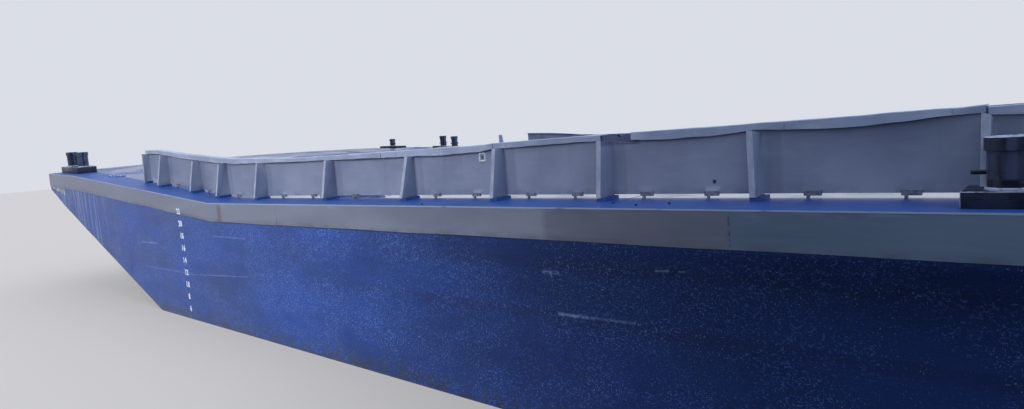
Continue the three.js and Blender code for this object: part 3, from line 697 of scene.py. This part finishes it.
def pushed_in(x, share, sign):
    """How far cargo has pushed a bay inboard, at a share of the board's height."""
    posts = [board_ends[sign], *[station for station in web_stations if station < board_ends[sign] - 0.3]]
    for number, (fore, aft) in enumerate(zip(posts, posts[1:])):
        if aft <= x <= fore:
            depth = 0.020 + 0.009 * math.sin(5 * number + sign)
            along = math.sin(math.pi * ((fore - x) / (fore - aft)) ** 0.8)
            return depth * along * math.sin(math.pi * (0.12 + 0.80 * share)) ** 0.8
    return 0


def of_plate(face):
    """Whether a face is the board's own plate, and not a bracket, a flange or a chock."""
    middle = abs(face.calc_center_median().y) - BOARD_Y + BOARD_PLATE / 2
    return abs(face.normal.y) > 0.95 and abs(middle) < 0.006


def ease_edges(work, edges, width, clamp=True):
    """Rounds sharp edges, and gives the new faces."""
    return bmesh.ops.bevel(work, geom=edges, offset=width, segments=2, profile=0.5, affect="EDGES",
                           clamp_overlap=clamp, material=-1)["faces"]


board_grey = Finish("board_satin_grey", coat=0.1, coat_roughness=0.3)
board_cloud = board_grey.noise(1.8, detail=5, shift=1)
board_brush = board_grey.noise(9, stretch=(0.35, 1, 2))
board_grey.ground(board_grey.between(board_cloud, 0.3, 0.7), (0.158, 0.172, 0.232), (0.205, 0.218, 0.280),
                  0.38, 0.55)
board_grey.lay((0.235, 0.258, 0.320), 0.35, board_grey.between(board_brush, 0.5, 0.75))
# Darker towards the foot in patches, dirty drips from the cap, and rust spots along the slit.
board_grey.lay((0.085, 0.098, 0.150), 0.5, board_grey.ramp("over_deck", 0.16, 0.04),
               board_grey.patches(0.42, 0.62, 5, detail=5, rough=0.65, shift=5))
board_grey.lay((0.105, 0.112, 0.150), 0.4, board_grey.ramp("over_deck", 0.05, 0.5),
               board_grey.patches(0.60, 0.74, 2.2, detail=3, stretch=(4, 4, 0.2), shift=3))
board_grey.lay((0.17, 0.085, 0.065), 0.8, board_grey.ramp("over_deck", 0.10, 0.02),
               board_grey.patches(0.60, 0.68, 15, detail=5, rough=0.7, shift=9))
# Painted shadow along the top of the port board where its cap is missing.
board_grey.lay((0.050, 0.060, 0.135), 0.85, board_grey.near("X", 1.285, 0.155),
               board_grey.ramp("over_deck", 0.455, 0.485), board_grey.ramp("Y", 0, 1))
# Painted shade: the board is darker in the corner just aft of each bracket.
for ahead in WEB_AHEADS:
    board_grey.lay((0.075, 0.095, 0.160), 0.30, board_grey.near("X", KNUCKLE + ahead - 0.05, 0.07))
board_grey.bumps((board_cloud, 0.007), (board_brush, 0.0010), (board_grey.noise(90, detail=3), 0.0007))

# Painted light: the flanges get a lighter copy of the board's grey, rubbed in patches, for the light they
# catch clear of the board's shade.
flange_lit_grey = Finish("flange_rubbed_and_lit_grey", roughness=0.5)
flange_wear = flange_lit_grey.noise(14, detail=5, stretch=(1, 1, 0.5))
flange_lit_grey.ground(flange_lit_grey.between(flange_wear, 0.35, 0.65), (0.215, 0.226, 0.280), (0.295, 0.306, 0.352))
flange_lit_grey.bumps((flange_wear, 0.003), (flange_lit_grey.noise(90, detail=3), 0.0007))

clip_grey = Finish("clip_stained_grey", roughness=0.7)
clip_grey.ground(clip_grey.patches(0.4, 0.6, 35), (0.085, 0.080, 0.105), (0.150, 0.150, 0.195))
clip_grey.bumps((clip_grey.noise(60, detail=3), 0.001))

BOARD_CUTS = (0.10, 0.18, 0.27, 0.36, 0.45, 0.51)
FINE_CUTS = (CREASE_FOOT[0] - 0.02, CREASE_FOOT[0], CREASE_HEAD[0], CREASE_HEAD[0] + 0.02,
             NOTCH - 0.045, NOTCH, NOTCH + 0.045)
for node in nodes_named("side_board"):
    board = merged_copy(node)
    sign = 1 if "port" in node else -1
    low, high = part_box(node)
    cut_across(board, 0, steps(low[0], high[0], 0.09), keep=of_plate)
    if node == "side_board_port_mid":
        cut_across(board, 0, FINE_CUTS, keep=of_plate)
    for cut in BOARD_CUTS:
        for way, normal in ((-1, (0, 0, 1)), (1, (-SHEER_SLOPE, 0, 1))):
            cut_plane(board, (KNUCKLE, 0, deck_top(KNUCKLE, BOARD_Y) + cut), normal,
                      keep=lambda face: of_plate(face) and way * (face.calc_center_median().x - KNUCKLE) > 0)
    for vert in board.verts:
        x, y, z = vert.co
        height = z - deck_top(x, BOARD_Y)
        share = min(1, max(0, (height - BOARD_SLIT) / (BOARD_HEIGHT - BOARD_SLIT)))
        vert.co.z += share * sag(x, sign)
        if BOARD_Y - BOARD_PLATE - 0.0005 < abs(y) < BOARD_Y + 0.0005:
            inward = pushed_in(x, share, sign)
            up_crease = min(1, max(0, (z - CREASE_FOOT[1]) / (CREASE_HEAD[1] - CREASE_FOOT[1])))
            off_crease = abs(x - CREASE_FOOT[0] - (CREASE_HEAD[0] - CREASE_FOOT[0]) * up_crease)
            if sign > 0 and off_crease < CREASE_HALF and 0.3 < share < 0.95:
                inward += CREASE_DEEP * (1 - off_crease / CREASE_HALF)
            vert.co.y -= sign * inward
        if sign > 0 and height > BOARD_HEIGHT - 0.06 and abs(x - NOTCH) < 0.03 and abs(y) < BOARD_Y + 0.001:
            vert.co.z -= 0.022 if abs(x - NOTCH) < 0.01 else 0.008
        if abs(y) > BOARD_Y + 0.02:
            vert.co.y += sign * (abs(y) - BOARD_Y) * bracket_shift(x, share, sign)
            if height > 0.40:
                vert.co.z += beaten(x, sign) + 0.006
                vert.co.x += 0.030 if sign > 0 and abs(x - KINKED) < 0.06 else 0
    for face in board.faces:
        middle = face.calc_center_median()
        height = middle.z - deck_top(middle.x, BOARD_Y)
        out = abs(middle.y) - BOARD_Y
        if 0.002 < out < 0.0085 and height < 0.060:
            face.material_index = 3
        elif out > 0.0085 and height < 0.029:
            face.material_index = 2
        elif out > 0.07 and abs(face.normal.y) > 0.8:
            face.material_index = 1
    folds = [edge for edge in board.edges if edge.is_manifold and edge.calc_length() > 0.25
             and edge.calc_face_angle() > 1.2 and all(abs(vert.co.y) > BOARD_Y + 0.06 for vert in edge.verts)]
    ease_edges(board, folds, 0.004)
    piece(node + "_painted", board, [board_grey, flange_lit_grey, deck_blue, clip_grey], replaces=[node])
paint_node("lone_bracket_stbd", board_grey)


# Torn lip at the missing stretch of cap rail, where the cap was pulled off.
# What is left of its weld stands along the board's edge, bare and rusty.
TORN_LINE = ((1.44, 2.924), (1.315, 2.910), (1.22, 2.899), (1.12, 2.887))

torn_rust = Finish("torn_edge_rust", roughness=0.8)
torn_rust.ground(torn_rust.noise(40), (0.11, 0.080, 0.095), (0.20, 0.17, 0.20))
torn = bmesh.new()
rod(torn, [(x, BOARD_Y - pushed_in(x, 0.92, 1) - 0.001, z) for x, z in TORN_LINE], 0.0032)
piece("torn_cap_weld", torn, [torn_rust])


# Small things on the port board: a white square frame of bar with a dark plug in it, and a second plug.
# They are welded on by hand.
FRAME_LOW = Vector((2.885, BOARD_Y - pushed_in(2.92, 0.75, 1) + 0.001, 2.808))
FRAME_SIZE = 0.077
PLUGS = ((2.921, 2.846, 0.013), (0.453, 2.559, 0.015))  # station, height and radius
BOARD_FOOT = 2.465
BOARD_DEPTH = 0.513

frame_white = Finish("frame_white", roughness=0.5)
frame_white.ground(frame_white.patches(0.4, 0.6, 70), (0.45, 0.46, 0.48), (0.66, 0.67, 0.68))
fittings = bmesh.new()
rod(fittings, [FRAME_LOW + FRAME_SIZE * Vector((ahead, 0, over))
               for ahead, over in ((0, 0), (1, 0), (1, 1), (0, 1), (0, 0))], 0.008, sides=8)
piece("board_frame", fittings, [frame_white])

plug_dark = Finish("plug_dark", roughness=0.6)
plug_dark.ground(plug_dark.noise(50), (0.012, 0.013, 0.018), (0.05, 0.045, 0.045))
plugs = bmesh.new()
for x, z, radius in PLUGS:
    face = BOARD_Y - pushed_in(x, (z - BOARD_FOOT) / BOARD_DEPTH, 1)
    rod(plugs, [(x, face - 0.008, z), (x, face + 0.003, z)], radius, sides=16)
piece("board_plugs", plugs, [plug_dark])


# Cap rails: bent plate angles laid over the top of the boards, in lengths that butt with open joints.
# Satin light grey. Grabs have beaten the lip in and out along its whole length.
LIP_DEPTH = 0.066
CAP_OUT = BOARD_Y + 0.026
BUTT_MARKS = ((4.28, 0.060), (-0.10, 0.052), (-1.10, 0.050), (2.56, 0.050))  # station and depth

cap_grey = Finish("cap_light_grey", coat=0.15, coat_roughness=0.25)
cap_cloud = cap_grey.noise(3, detail=5, shift=4)
cap_brush = cap_grey.noise(13, stretch=(0.3, 1, 1))
cap_grey.ground(cap_grey.between(cap_cloud, 0.3, 0.7), (0.235, 0.256, 0.330), (0.310, 0.330, 0.408),
                0.32, 0.50)
cap_grey.lay((0.45, 0.47, 0.52), 0.4, cap_grey.between(cap_brush, 0.52, 0.7))
cap_grey.lay((0.13, 0.085, 0.075), 0.7, cap_grey.patches(0.66, 0.71, 19, detail=5, rough=0.7, shift=6))
cap_grey.bumps((cap_cloud, 0.006), (cap_grey.noise(14, detail=3, shift=2), 0.0022), (cap_brush, 0.0007),
               (cap_grey.noise(95, detail=3), 0.0006))

for node in nodes_named("cap_rail"):
    cap = merged_copy(node)
    sign = 1 if "port" in node else -1
    low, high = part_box(node)
    cut_across(cap, 0, steps(low[0], high[0], 0.06))
    corners = {vert for vert in cap.verts if abs(vert.co.y) > CAP_OUT - 0.0005
               and vert.co.z > fair_top(vert.co.x, sign) - 0.002}
    folds = [edge for edge in cap.edges if corners.issuperset(edge.verts)]
    ease_edges(cap, folds, 0.006, clamp=False)
    for vert in cap.verts:
        x, y, z = vert.co
        drop = (fair_top(x, sign) - z) / LIP_DEPTH
        dent = math.sin(9.1 * x + sign) * math.sin(2.7 * x + 1) + 0.5 * math.sin(23 * x)
        vert.co.z += sag(x, sign)
        if drop > 0.5:
            vert.co.z += beaten(x, sign) + 0.003 * dent
            vert.co.y += sign * (0.0045 * dent - 0.003)
        elif abs(y) > BOARD_Y:
            vert.co.z += 0.0018 * dent
        else:
            vert.co.z += 0.0012 * math.sin(7 * x + 3)
    piece(node + "_painted", cap, [cap_grey], replaces=[node])

cap_marks = bmesh.new()
for x, depth in BUTT_MARKS:
    top = fair_top(x, 1) + sag(x, 1)
    pin(cap_marks, x, CAP_OUT - 0.001, top - depth, top - 0.006, 0.0026, sides=6)
piece("cap_butt_marks", cap_marks, [board_grey])


# Mooring bitts: pairs of pipe posts with a collar, a top plate and a bar through each, on a foundation.
# Black paint, rubbed grey in patches, with light edges and a little rust at the foot; pale upright stripes
# round the posts are a painted sheen.
COLLAR = 0.012                 # how far collar and foot ring stand out from the post
COLLAR_HEIGHT = 0.075
POST_BAR = 0.013
POST_BAR_REACH = 0.074

bitts_black = Finish("bitts_worn_black_and_painted_sheen", specular=0.30)
bitts_cloud = bitts_black.noise(6, detail=5)
bitts_black.ground(bitts_black.between(bitts_cloud, 0.3, 0.7), (0.006, 0.008, 0.020), (0.015, 0.020, 0.044),
                   0.26, 0.48)
bitts_black.lay((0.048, 0.058, 0.100), 0.40, bitts_black.patches(0.52, 0.72, 16, stretch=(1, 1, 3), shift=4))
# Painted sheen: pale upright stripes round the posts, above the foundation, stand in for the sky's reflection
# on them.
bitts_black.lay((0.060, 0.074, 0.125), 0.70, bitts_black.ramp("over_deck", 0.15, 0.17),
                bitts_black.patches(0.44, 0.60, 11, detail=2, stretch=(1, 1, 0.03), shift=3))
bitts_black.lay((0.075, 0.036, 0.024), 0.5, bitts_black.patches(0.60, 0.70, 9, detail=6, rough=0.7, shift=7))
bitts_black.bumps((bitts_cloud, 0.003), (bitts_black.noise(70, detail=3), 0.0008))

edge_light = Finish("bitts_edge_light", roughness=0.45, metallic=0.4)
edge_light.ground(edge_light.patches(0.30, 0.5, 30), (0.13, 0.14, 0.18), (0.42, 0.44, 0.52))
edge_light.bumps((edge_light.noise(60), 0.001))


def turned(work, outline, centre, sides=48):
    """A closed turned solid: the outline runs from the axis at the foot to the axis at the top."""
    points = [work.verts.new((radius, 0, height)) for radius, height in outline]
    edges = [work.edges.new(pair) for pair in zip(points, points[1:])]
    made = bmesh.ops.spin(work, geom=points + edges, cent=(0, 0, 0), axis=(0, 0, 1), angle=2 * math.pi,
                          steps=sides, use_merge=True, use_normal_flip=False, use_duplicate=False)
    linked = {vert for item in made["geom_last"] + points + edges for vert in
              ([item] if isinstance(item, bmesh.types.BMVert) else getattr(item, "verts", []))}
    todo = list(linked)
    while todo:
        for edge in todo.pop().link_edges:
            new = set(edge.verts) - linked
            linked |= new
            todo += new
    bmesh.ops.remove_doubles(work, verts=list(linked), dist=TOUCHING)
    linked = [vert for vert in linked if vert.is_valid]
    bmesh.ops.translate(work, verts=linked, vec=centre)
    return linked


# Inset from the deck edge, post radius and height, gap between posts, and the foundation's height, length
# and width.
BITTS = {
    "bow": (0.430, 0.105, 0.325, 0.760, 0.140, 1.220, 0.380),
    "single": (0.430, 0.082, 0.230, 0.0, 0.060, 0.900, 0.380),
    "fore": (0.480, 0.092, 0.310, 0.500, 0.090, 1.120, 0.360),
    "side": (0.262, 0.122, 0.290, 0.800, 0.095, 1.260, 0.284),
    "aft": (0.480, 0.105, 0.325, 0.760, 0.140, 1.220, 0.380),
}
for kind, node, side, ahead in (
        ("bow", "bitts_bow_port", 1, 7.64), ("single", "bollard_bow_stbd", -1, 7.785),
        ("fore", "bitts_fore_stbd", -1, 4.99), ("side", "bitts_side_port", 1, -10.05),
        ("side", "bitts_side_stbd", -1, -10.05), ("aft", "bitts_aft_port", 1, -24.0),
        ("aft", "bitts_aft_stbd", -1, -24.0)):
    inset, radius, height, gap, base, length, width = BITTS[kind]
    x, y = KNUCKLE + ahead, side * (HALF_BEAM - inset)
    work = bmesh.new()
    bmesh.ops.create_cube(work, size=1,
                          matrix=Matrix.Translation((x, y, 0)) @ Matrix.Diagonal((length, width, 1, 1)))
    seams = steps(-HALF_BEAM, HALF_BEAM, STRAKE)
    cut_across(work, 1, [seam for seam in seams if abs(seam - y) < width / 2 - 0.002])
    cut_across(work, 0, [SHEER_EASE] if abs(SHEER_EASE - x) < length / 2 else [])
    for vert in work.verts:
        vert.co.z = deck_top(vert.co.x, vert.co.y) + (base if vert.co.z > 0 else 0.0003)
    rims = [edge for edge in work.edges if edge.calc_face_angle(0) > 1.2]
    for face in ease_edges(work, rims, 0.004, clamp=False):
        if max(vert.co.z for vert in face.verts) > deck_top(x, y) + base * 0.8:
            face.material_index = 1
    outline = [(0, -0.006), (radius + COLLAR, -0.006), (radius + COLLAR, 0.007), (radius + 0.004, 0.011),
               (radius, 0.013), (radius, height - COLLAR_HEIGHT), (radius + COLLAR, height - COLLAR_HEIGHT),
               (radius + COLLAR, height - 0.003), (radius + 0.009, height), (radius - 0.004, height),
               (radius - 0.006, height - 0.004), (0, height - 0.004)]
    for post_x in (x - gap / 2, x + gap / 2) if gap else (x,):
        foot = deck_top(post_x, y) + base
        ring = turned(work, outline, (post_x, y, foot))
        for face in {face for vert in ring for face in vert.link_faces}:
            level = face.calc_center_median().z - foot
            if level < 0.014 or (level > height - 0.004 and face.normal.z < 0.95):
                face.material_index = 1
        reach = radius + POST_BAR_REACH
        level = foot + height * 0.32
        rod(work, [(post_x - reach, y, level), (post_x + reach, y, level)], POST_BAR, sides=20)
    bmesh.ops.recalc_face_normals(work, faces=work.faces[:])
    piece(node + "_worn", work, [bitts_black, edge_light], replaces=[node])


# Access hatches: welded coamings with hinged lids, blue like the deck.
# Each lid has a bent handle and a black gasket; butterfly dogs hang on the coaming.
COAMING_HEIGHT = 0.230
LID_PLATE = 0.016
GASKET_HALF = 0.345
DOG_X = 0.18
DOG_OUT = 0.360
# The handle's bends, across and over the lid.
GRIP = ((-0.06, -0.004), (-0.06, 0.030), (-0.045, 0.045), (0.045, 0.045), (0.06, 0.030), (0.06, -0.004))
GRIP_AHEAD = 0.16

gasket_rubber = Finish("gasket_rubber", roughness=0.75)
gasket_rubber.ground(gasket_rubber.noise(30), (0.010, 0.010, 0.011), (0.030, 0.029, 0.028))
gasket_rubber.bumps((gasket_rubber.noise(80), 0.0006))
inside_dark = Finish("hatch_inside_dark", roughness=0.8)
inside_dark.ground(inside_dark.noise(7), (0.012, 0.010, 0.010), (0.035, 0.022, 0.016))
inside_dark.bumps((inside_dark.noise(25), 0.003))


def long_rims(work, over):
    """The long sharp edges over a height."""
    return [edge for edge in work.edges if edge.is_manifold and edge.calc_face_angle() > 1.3
            and edge.calc_length() > 0.3 and min(vert.co.z for vert in edge.verts) > over]


for hatch, x, y in (("fore_port", KNUCKLE - 1.15, 3.25), ("fore_stbd", KNUCKLE - 1.15, -3.25),
                    ("aft_port", -HALF_LENGTH + 1.75, 2.4), ("aft_stbd", -HALF_LENGTH + 1.75, -2.4)):
    top = deck_top(x, abs(y)) + COAMING_HEIGHT
    coaming = merged_copy("hatch_coaming_" + hatch)
    ease_edges(coaming, long_rims(coaming, top - 0.25), 0.0025)
    for face in coaming.faces:
        middle = face.calc_center_median()
        if max(abs(middle.x - x), abs(middle.y - y)) < 0.342 and middle.z < top - 0.002:
            face.material_index = 1
    piece("hatch_coaming_%s_painted" % hatch, coaming, [deck_blue, inside_dark],
          replaces=["hatch_coaming_" + hatch])

    dogs = bmesh.new()
    pivot = top - 0.075
    for side in (-1, 1):
        for dog_x in (x - DOG_X, x + DOG_X):
            out = y + side * DOG_OUT
            wing = out + side * 0.003
            rod(dogs, [(dog_x - 0.02, out, pivot), (dog_x + 0.02, out, pivot)], 0.007, sides=10)
            rod(dogs, [(dog_x, out, pivot), (dog_x, out, pivot - 0.100)], 0.006, sides=10)
            rod(dogs, [(dog_x - 0.032, wing, pivot - 0.085), (dog_x + 0.032, wing, pivot - 0.085)], 0.006,
                sides=10)
    piece("hatch_dogs_" + hatch, dogs, [edge_light])

    lid = merged_copy("hatch_lid_" + hatch)
    ease_edges(lid, long_rims(lid, top), 0.0025)
    piece("hatch_lid_%s_painted" % hatch, lid, [deck_blue], body="lid_" + hatch,
          replaces=["hatch_lid_" + hatch])

    handle = bmesh.new()
    rod(handle, [(x + GRIP_AHEAD, y + across, top + LID_PLATE + over) for across, over in GRIP], 0.007,
        sides=12)
    piece("hatch_handle_" + hatch, handle, [edge_light], body="lid_" + hatch)

    seal = bmesh.new()
    rod(seal, [(x + GASKET_HALF * ahead, y + GASKET_HALF * across, top + 0.0035)
               for ahead, across in ((-1, -1), (1, -1), (1, 1), (-1, 1), (-1, -1))], 0.0032, sides=8)
    piece("hatch_gasket_" + hatch, seal, [gasket_rubber], body="lid_" + hatch)


# Manhole covers: thick oval plates held down by a ring of bolts, on the fore deck.
# Painted with the deck, and rubbed bright on the bolt heads.
BOLTS = 14
BOLT_RING = (0.222, 0.122)     # half-length and half-width
COVER_PLATE = 0.0118

for side, x, y in (("port", KNUCKLE + 5.45, 4.48), ("stbd", KNUCKLE + 6.28, -4.48)):
    paint_node("manhole_cover_" + side, deck_blue)
    bolts = bmesh.new()
    for step in range(BOLTS):
        turn = 2 * math.pi * step / BOLTS
        bolt_x, bolt_y = x + BOLT_RING[0] * math.cos(turn), y + BOLT_RING[1] * math.sin(turn)
        level = deck_top(bolt_x, bolt_y) + COVER_PLATE
        pin(bolts, bolt_x, bolt_y, level - 0.002, level + 0.011, 0.012, sides=6)
        pin(bolts, bolt_x, bolt_y, level + 0.010, level + 0.017, 0.006, sides=10)
    piece("manhole_bolts_" + side, bolts, [edge_light])


# Studs on the side deck: short welded stubs left from old fittings, painted black.
# Both sides have the same.
STUDS = ((3.411, 4.912), (1.196, 4.765), (0.921, 4.865), (0.686, 4.767))
studs = bmesh.new()
for x, y in STUDS:
    level = deck_top(x, y)
    for sign in (1, -1):
        pin(studs, x, sign * y, level - 0.004, level + 0.011, 0.010)
piece("deck_studs", studs, [bitts_black])


# Floor and light: a plain pale floor at the waterline, a pale sky that is dimmer to port, and one broad light
# off the port bow. A dark net at the band's foot, unseen by the camera and denser towards midships, thins the
# light on the plating. The floor gives no bounce, so the side stays dark below.
FLOOR_HALF = 150
NET_X = (-10, 6)
NET_Y = (HALF_BEAM + 0.005, 8.2)
NET_LEVEL = 2.135
NET_DENSE = 0.88


def stage_sheet(name, finish, low, high, level):
    """A level sheet of the stage between two corners, which no gloss paint mirrors."""
    middle = Vector(((low[0] + high[0]) / 2, (low[1] + high[1]) / 2, level))
    size = Matrix.Diagonal(((high[0] - low[0]) / 2, (high[1] - low[1]) / 2, 1, 1))
    work = bmesh.new()
    bmesh.ops.create_grid(work, x_segments=1, y_segments=1, size=1, matrix=Matrix.Translation(middle) @ size)
    mesh = bpy.data.meshes.new(name)
    work.to_mesh(mesh)
    work.free()
    mesh.materials.append(finish.material)
    sheet = bpy.data.objects.new(name, mesh)
    sheet.visible_glossy = False
    scene.collection.objects.link(sheet)
    return sheet


floor_pale = Finish("floor_pale", roughness=0.9, specular=0.1)
floor_pale.shade({"Base Color": (0.26, 0.20, 0.148, 1), "Emission Color": (0.97, 0.975, 1.0, 1),
                  "Emission Strength": 0.35})
floor = stage_sheet("floor", floor_pale, (-FLOOR_HALF, -FLOOR_HALF), (FLOOR_HALF, FLOOR_HALF), WATERLINE)
floor.visible_diffuse = False

net_dark = Finish("net_dark", roughness=1.0, specular=0.0)
net_dark.shade({"Base Color": (0.02, 0.02, 0.02, 1),
                "Alpha": net_dark.times(net_dark.ramp("X", 5.5, -0.5), NET_DENSE)})
net = stage_sheet("net", net_dark, (NET_X[0], NET_Y[0]), (NET_X[1], NET_Y[1]), NET_LEVEL)
net.visible_camera = False

SKY_SEEN = 0.80
SKY_LIGHT = 2.85
PORT_SHARE = 0.36              # of the sky's light, from straight to port
AHEAD_GLOSS = 0.80             # what gloss paint reflects, looking ahead and looking to port
PORT_GLOSS = 0.05
LOW_GLOSS = 0.56               # share of it from below the horizon
world = bpy.data.worlds.new("pale_sky")
scene.world = world
world.use_nodes = True
sky = Nodes(world.node_tree)
heading = sky.node("SeparateXYZ", {0: sky.node("TexCoord").outputs["Generated"]}).outputs
ray = sky.node("LightPath").outputs
light_level = sky.times(sky.between(heading["Y"], -0.1, 0.7, SKY_LIGHT, SKY_LIGHT * PORT_SHARE),
                        sky.between(heading["Z"], -0.12, 0.08, 0.03, 1.0),
                        sky.between(heading["X"], -0.8, 0.8, 1.20, 0.85))
gloss_level = sky.times(sky.between(heading["Y"], 0.32, 0.88, AHEAD_GLOSS, PORT_GLOSS),
                        sky.between(heading["Z"], -0.06, 0.08, LOW_GLOSS, 1.0))
unlit_level = sky.blend(ray["Is Glossy Ray"], SKY_SEEN, gloss_level)
sky.feed(world.node_tree.nodes["Background"], {
    "Color": sky.mix(ray["Is Diffuse Ray"], (0.88, 0.91, 1.0), (0.54, 0.70, 1.0)),
    "Strength": sky.blend(ray["Is Diffuse Ray"], unlit_level, light_level)})

bow_light = bpy.data.objects.new("bow_light", bpy.data.lights.new("bow_light", "AREA"))
bow_light.data.shape = "RECTANGLE"
bow_light.data.size = 16
bow_light.data.size_y = 7
bow_light.data.energy = 340
bow_light.data.spread = math.radians(40)
bow_light.data.color = (0.93, 0.95, 1.0)
bow_light.location = (10.5, 15, 8)
bow_light.rotation_euler = (Vector((10.5, 5, 2)) - bow_light.location).to_track_quat("-Z", "Y").to_euler()
scene.collection.objects.link(bow_light)
unlit = bpy.data.collections.new("unlit_by_bow_light")
unlit.objects.link(floor)
bow_light.light_linking.receiver_collection = unlit
unlit.collection_objects[0].light_linking.link_state = "EXCLUDE"
scene.view_settings.view_transform = "Standard"
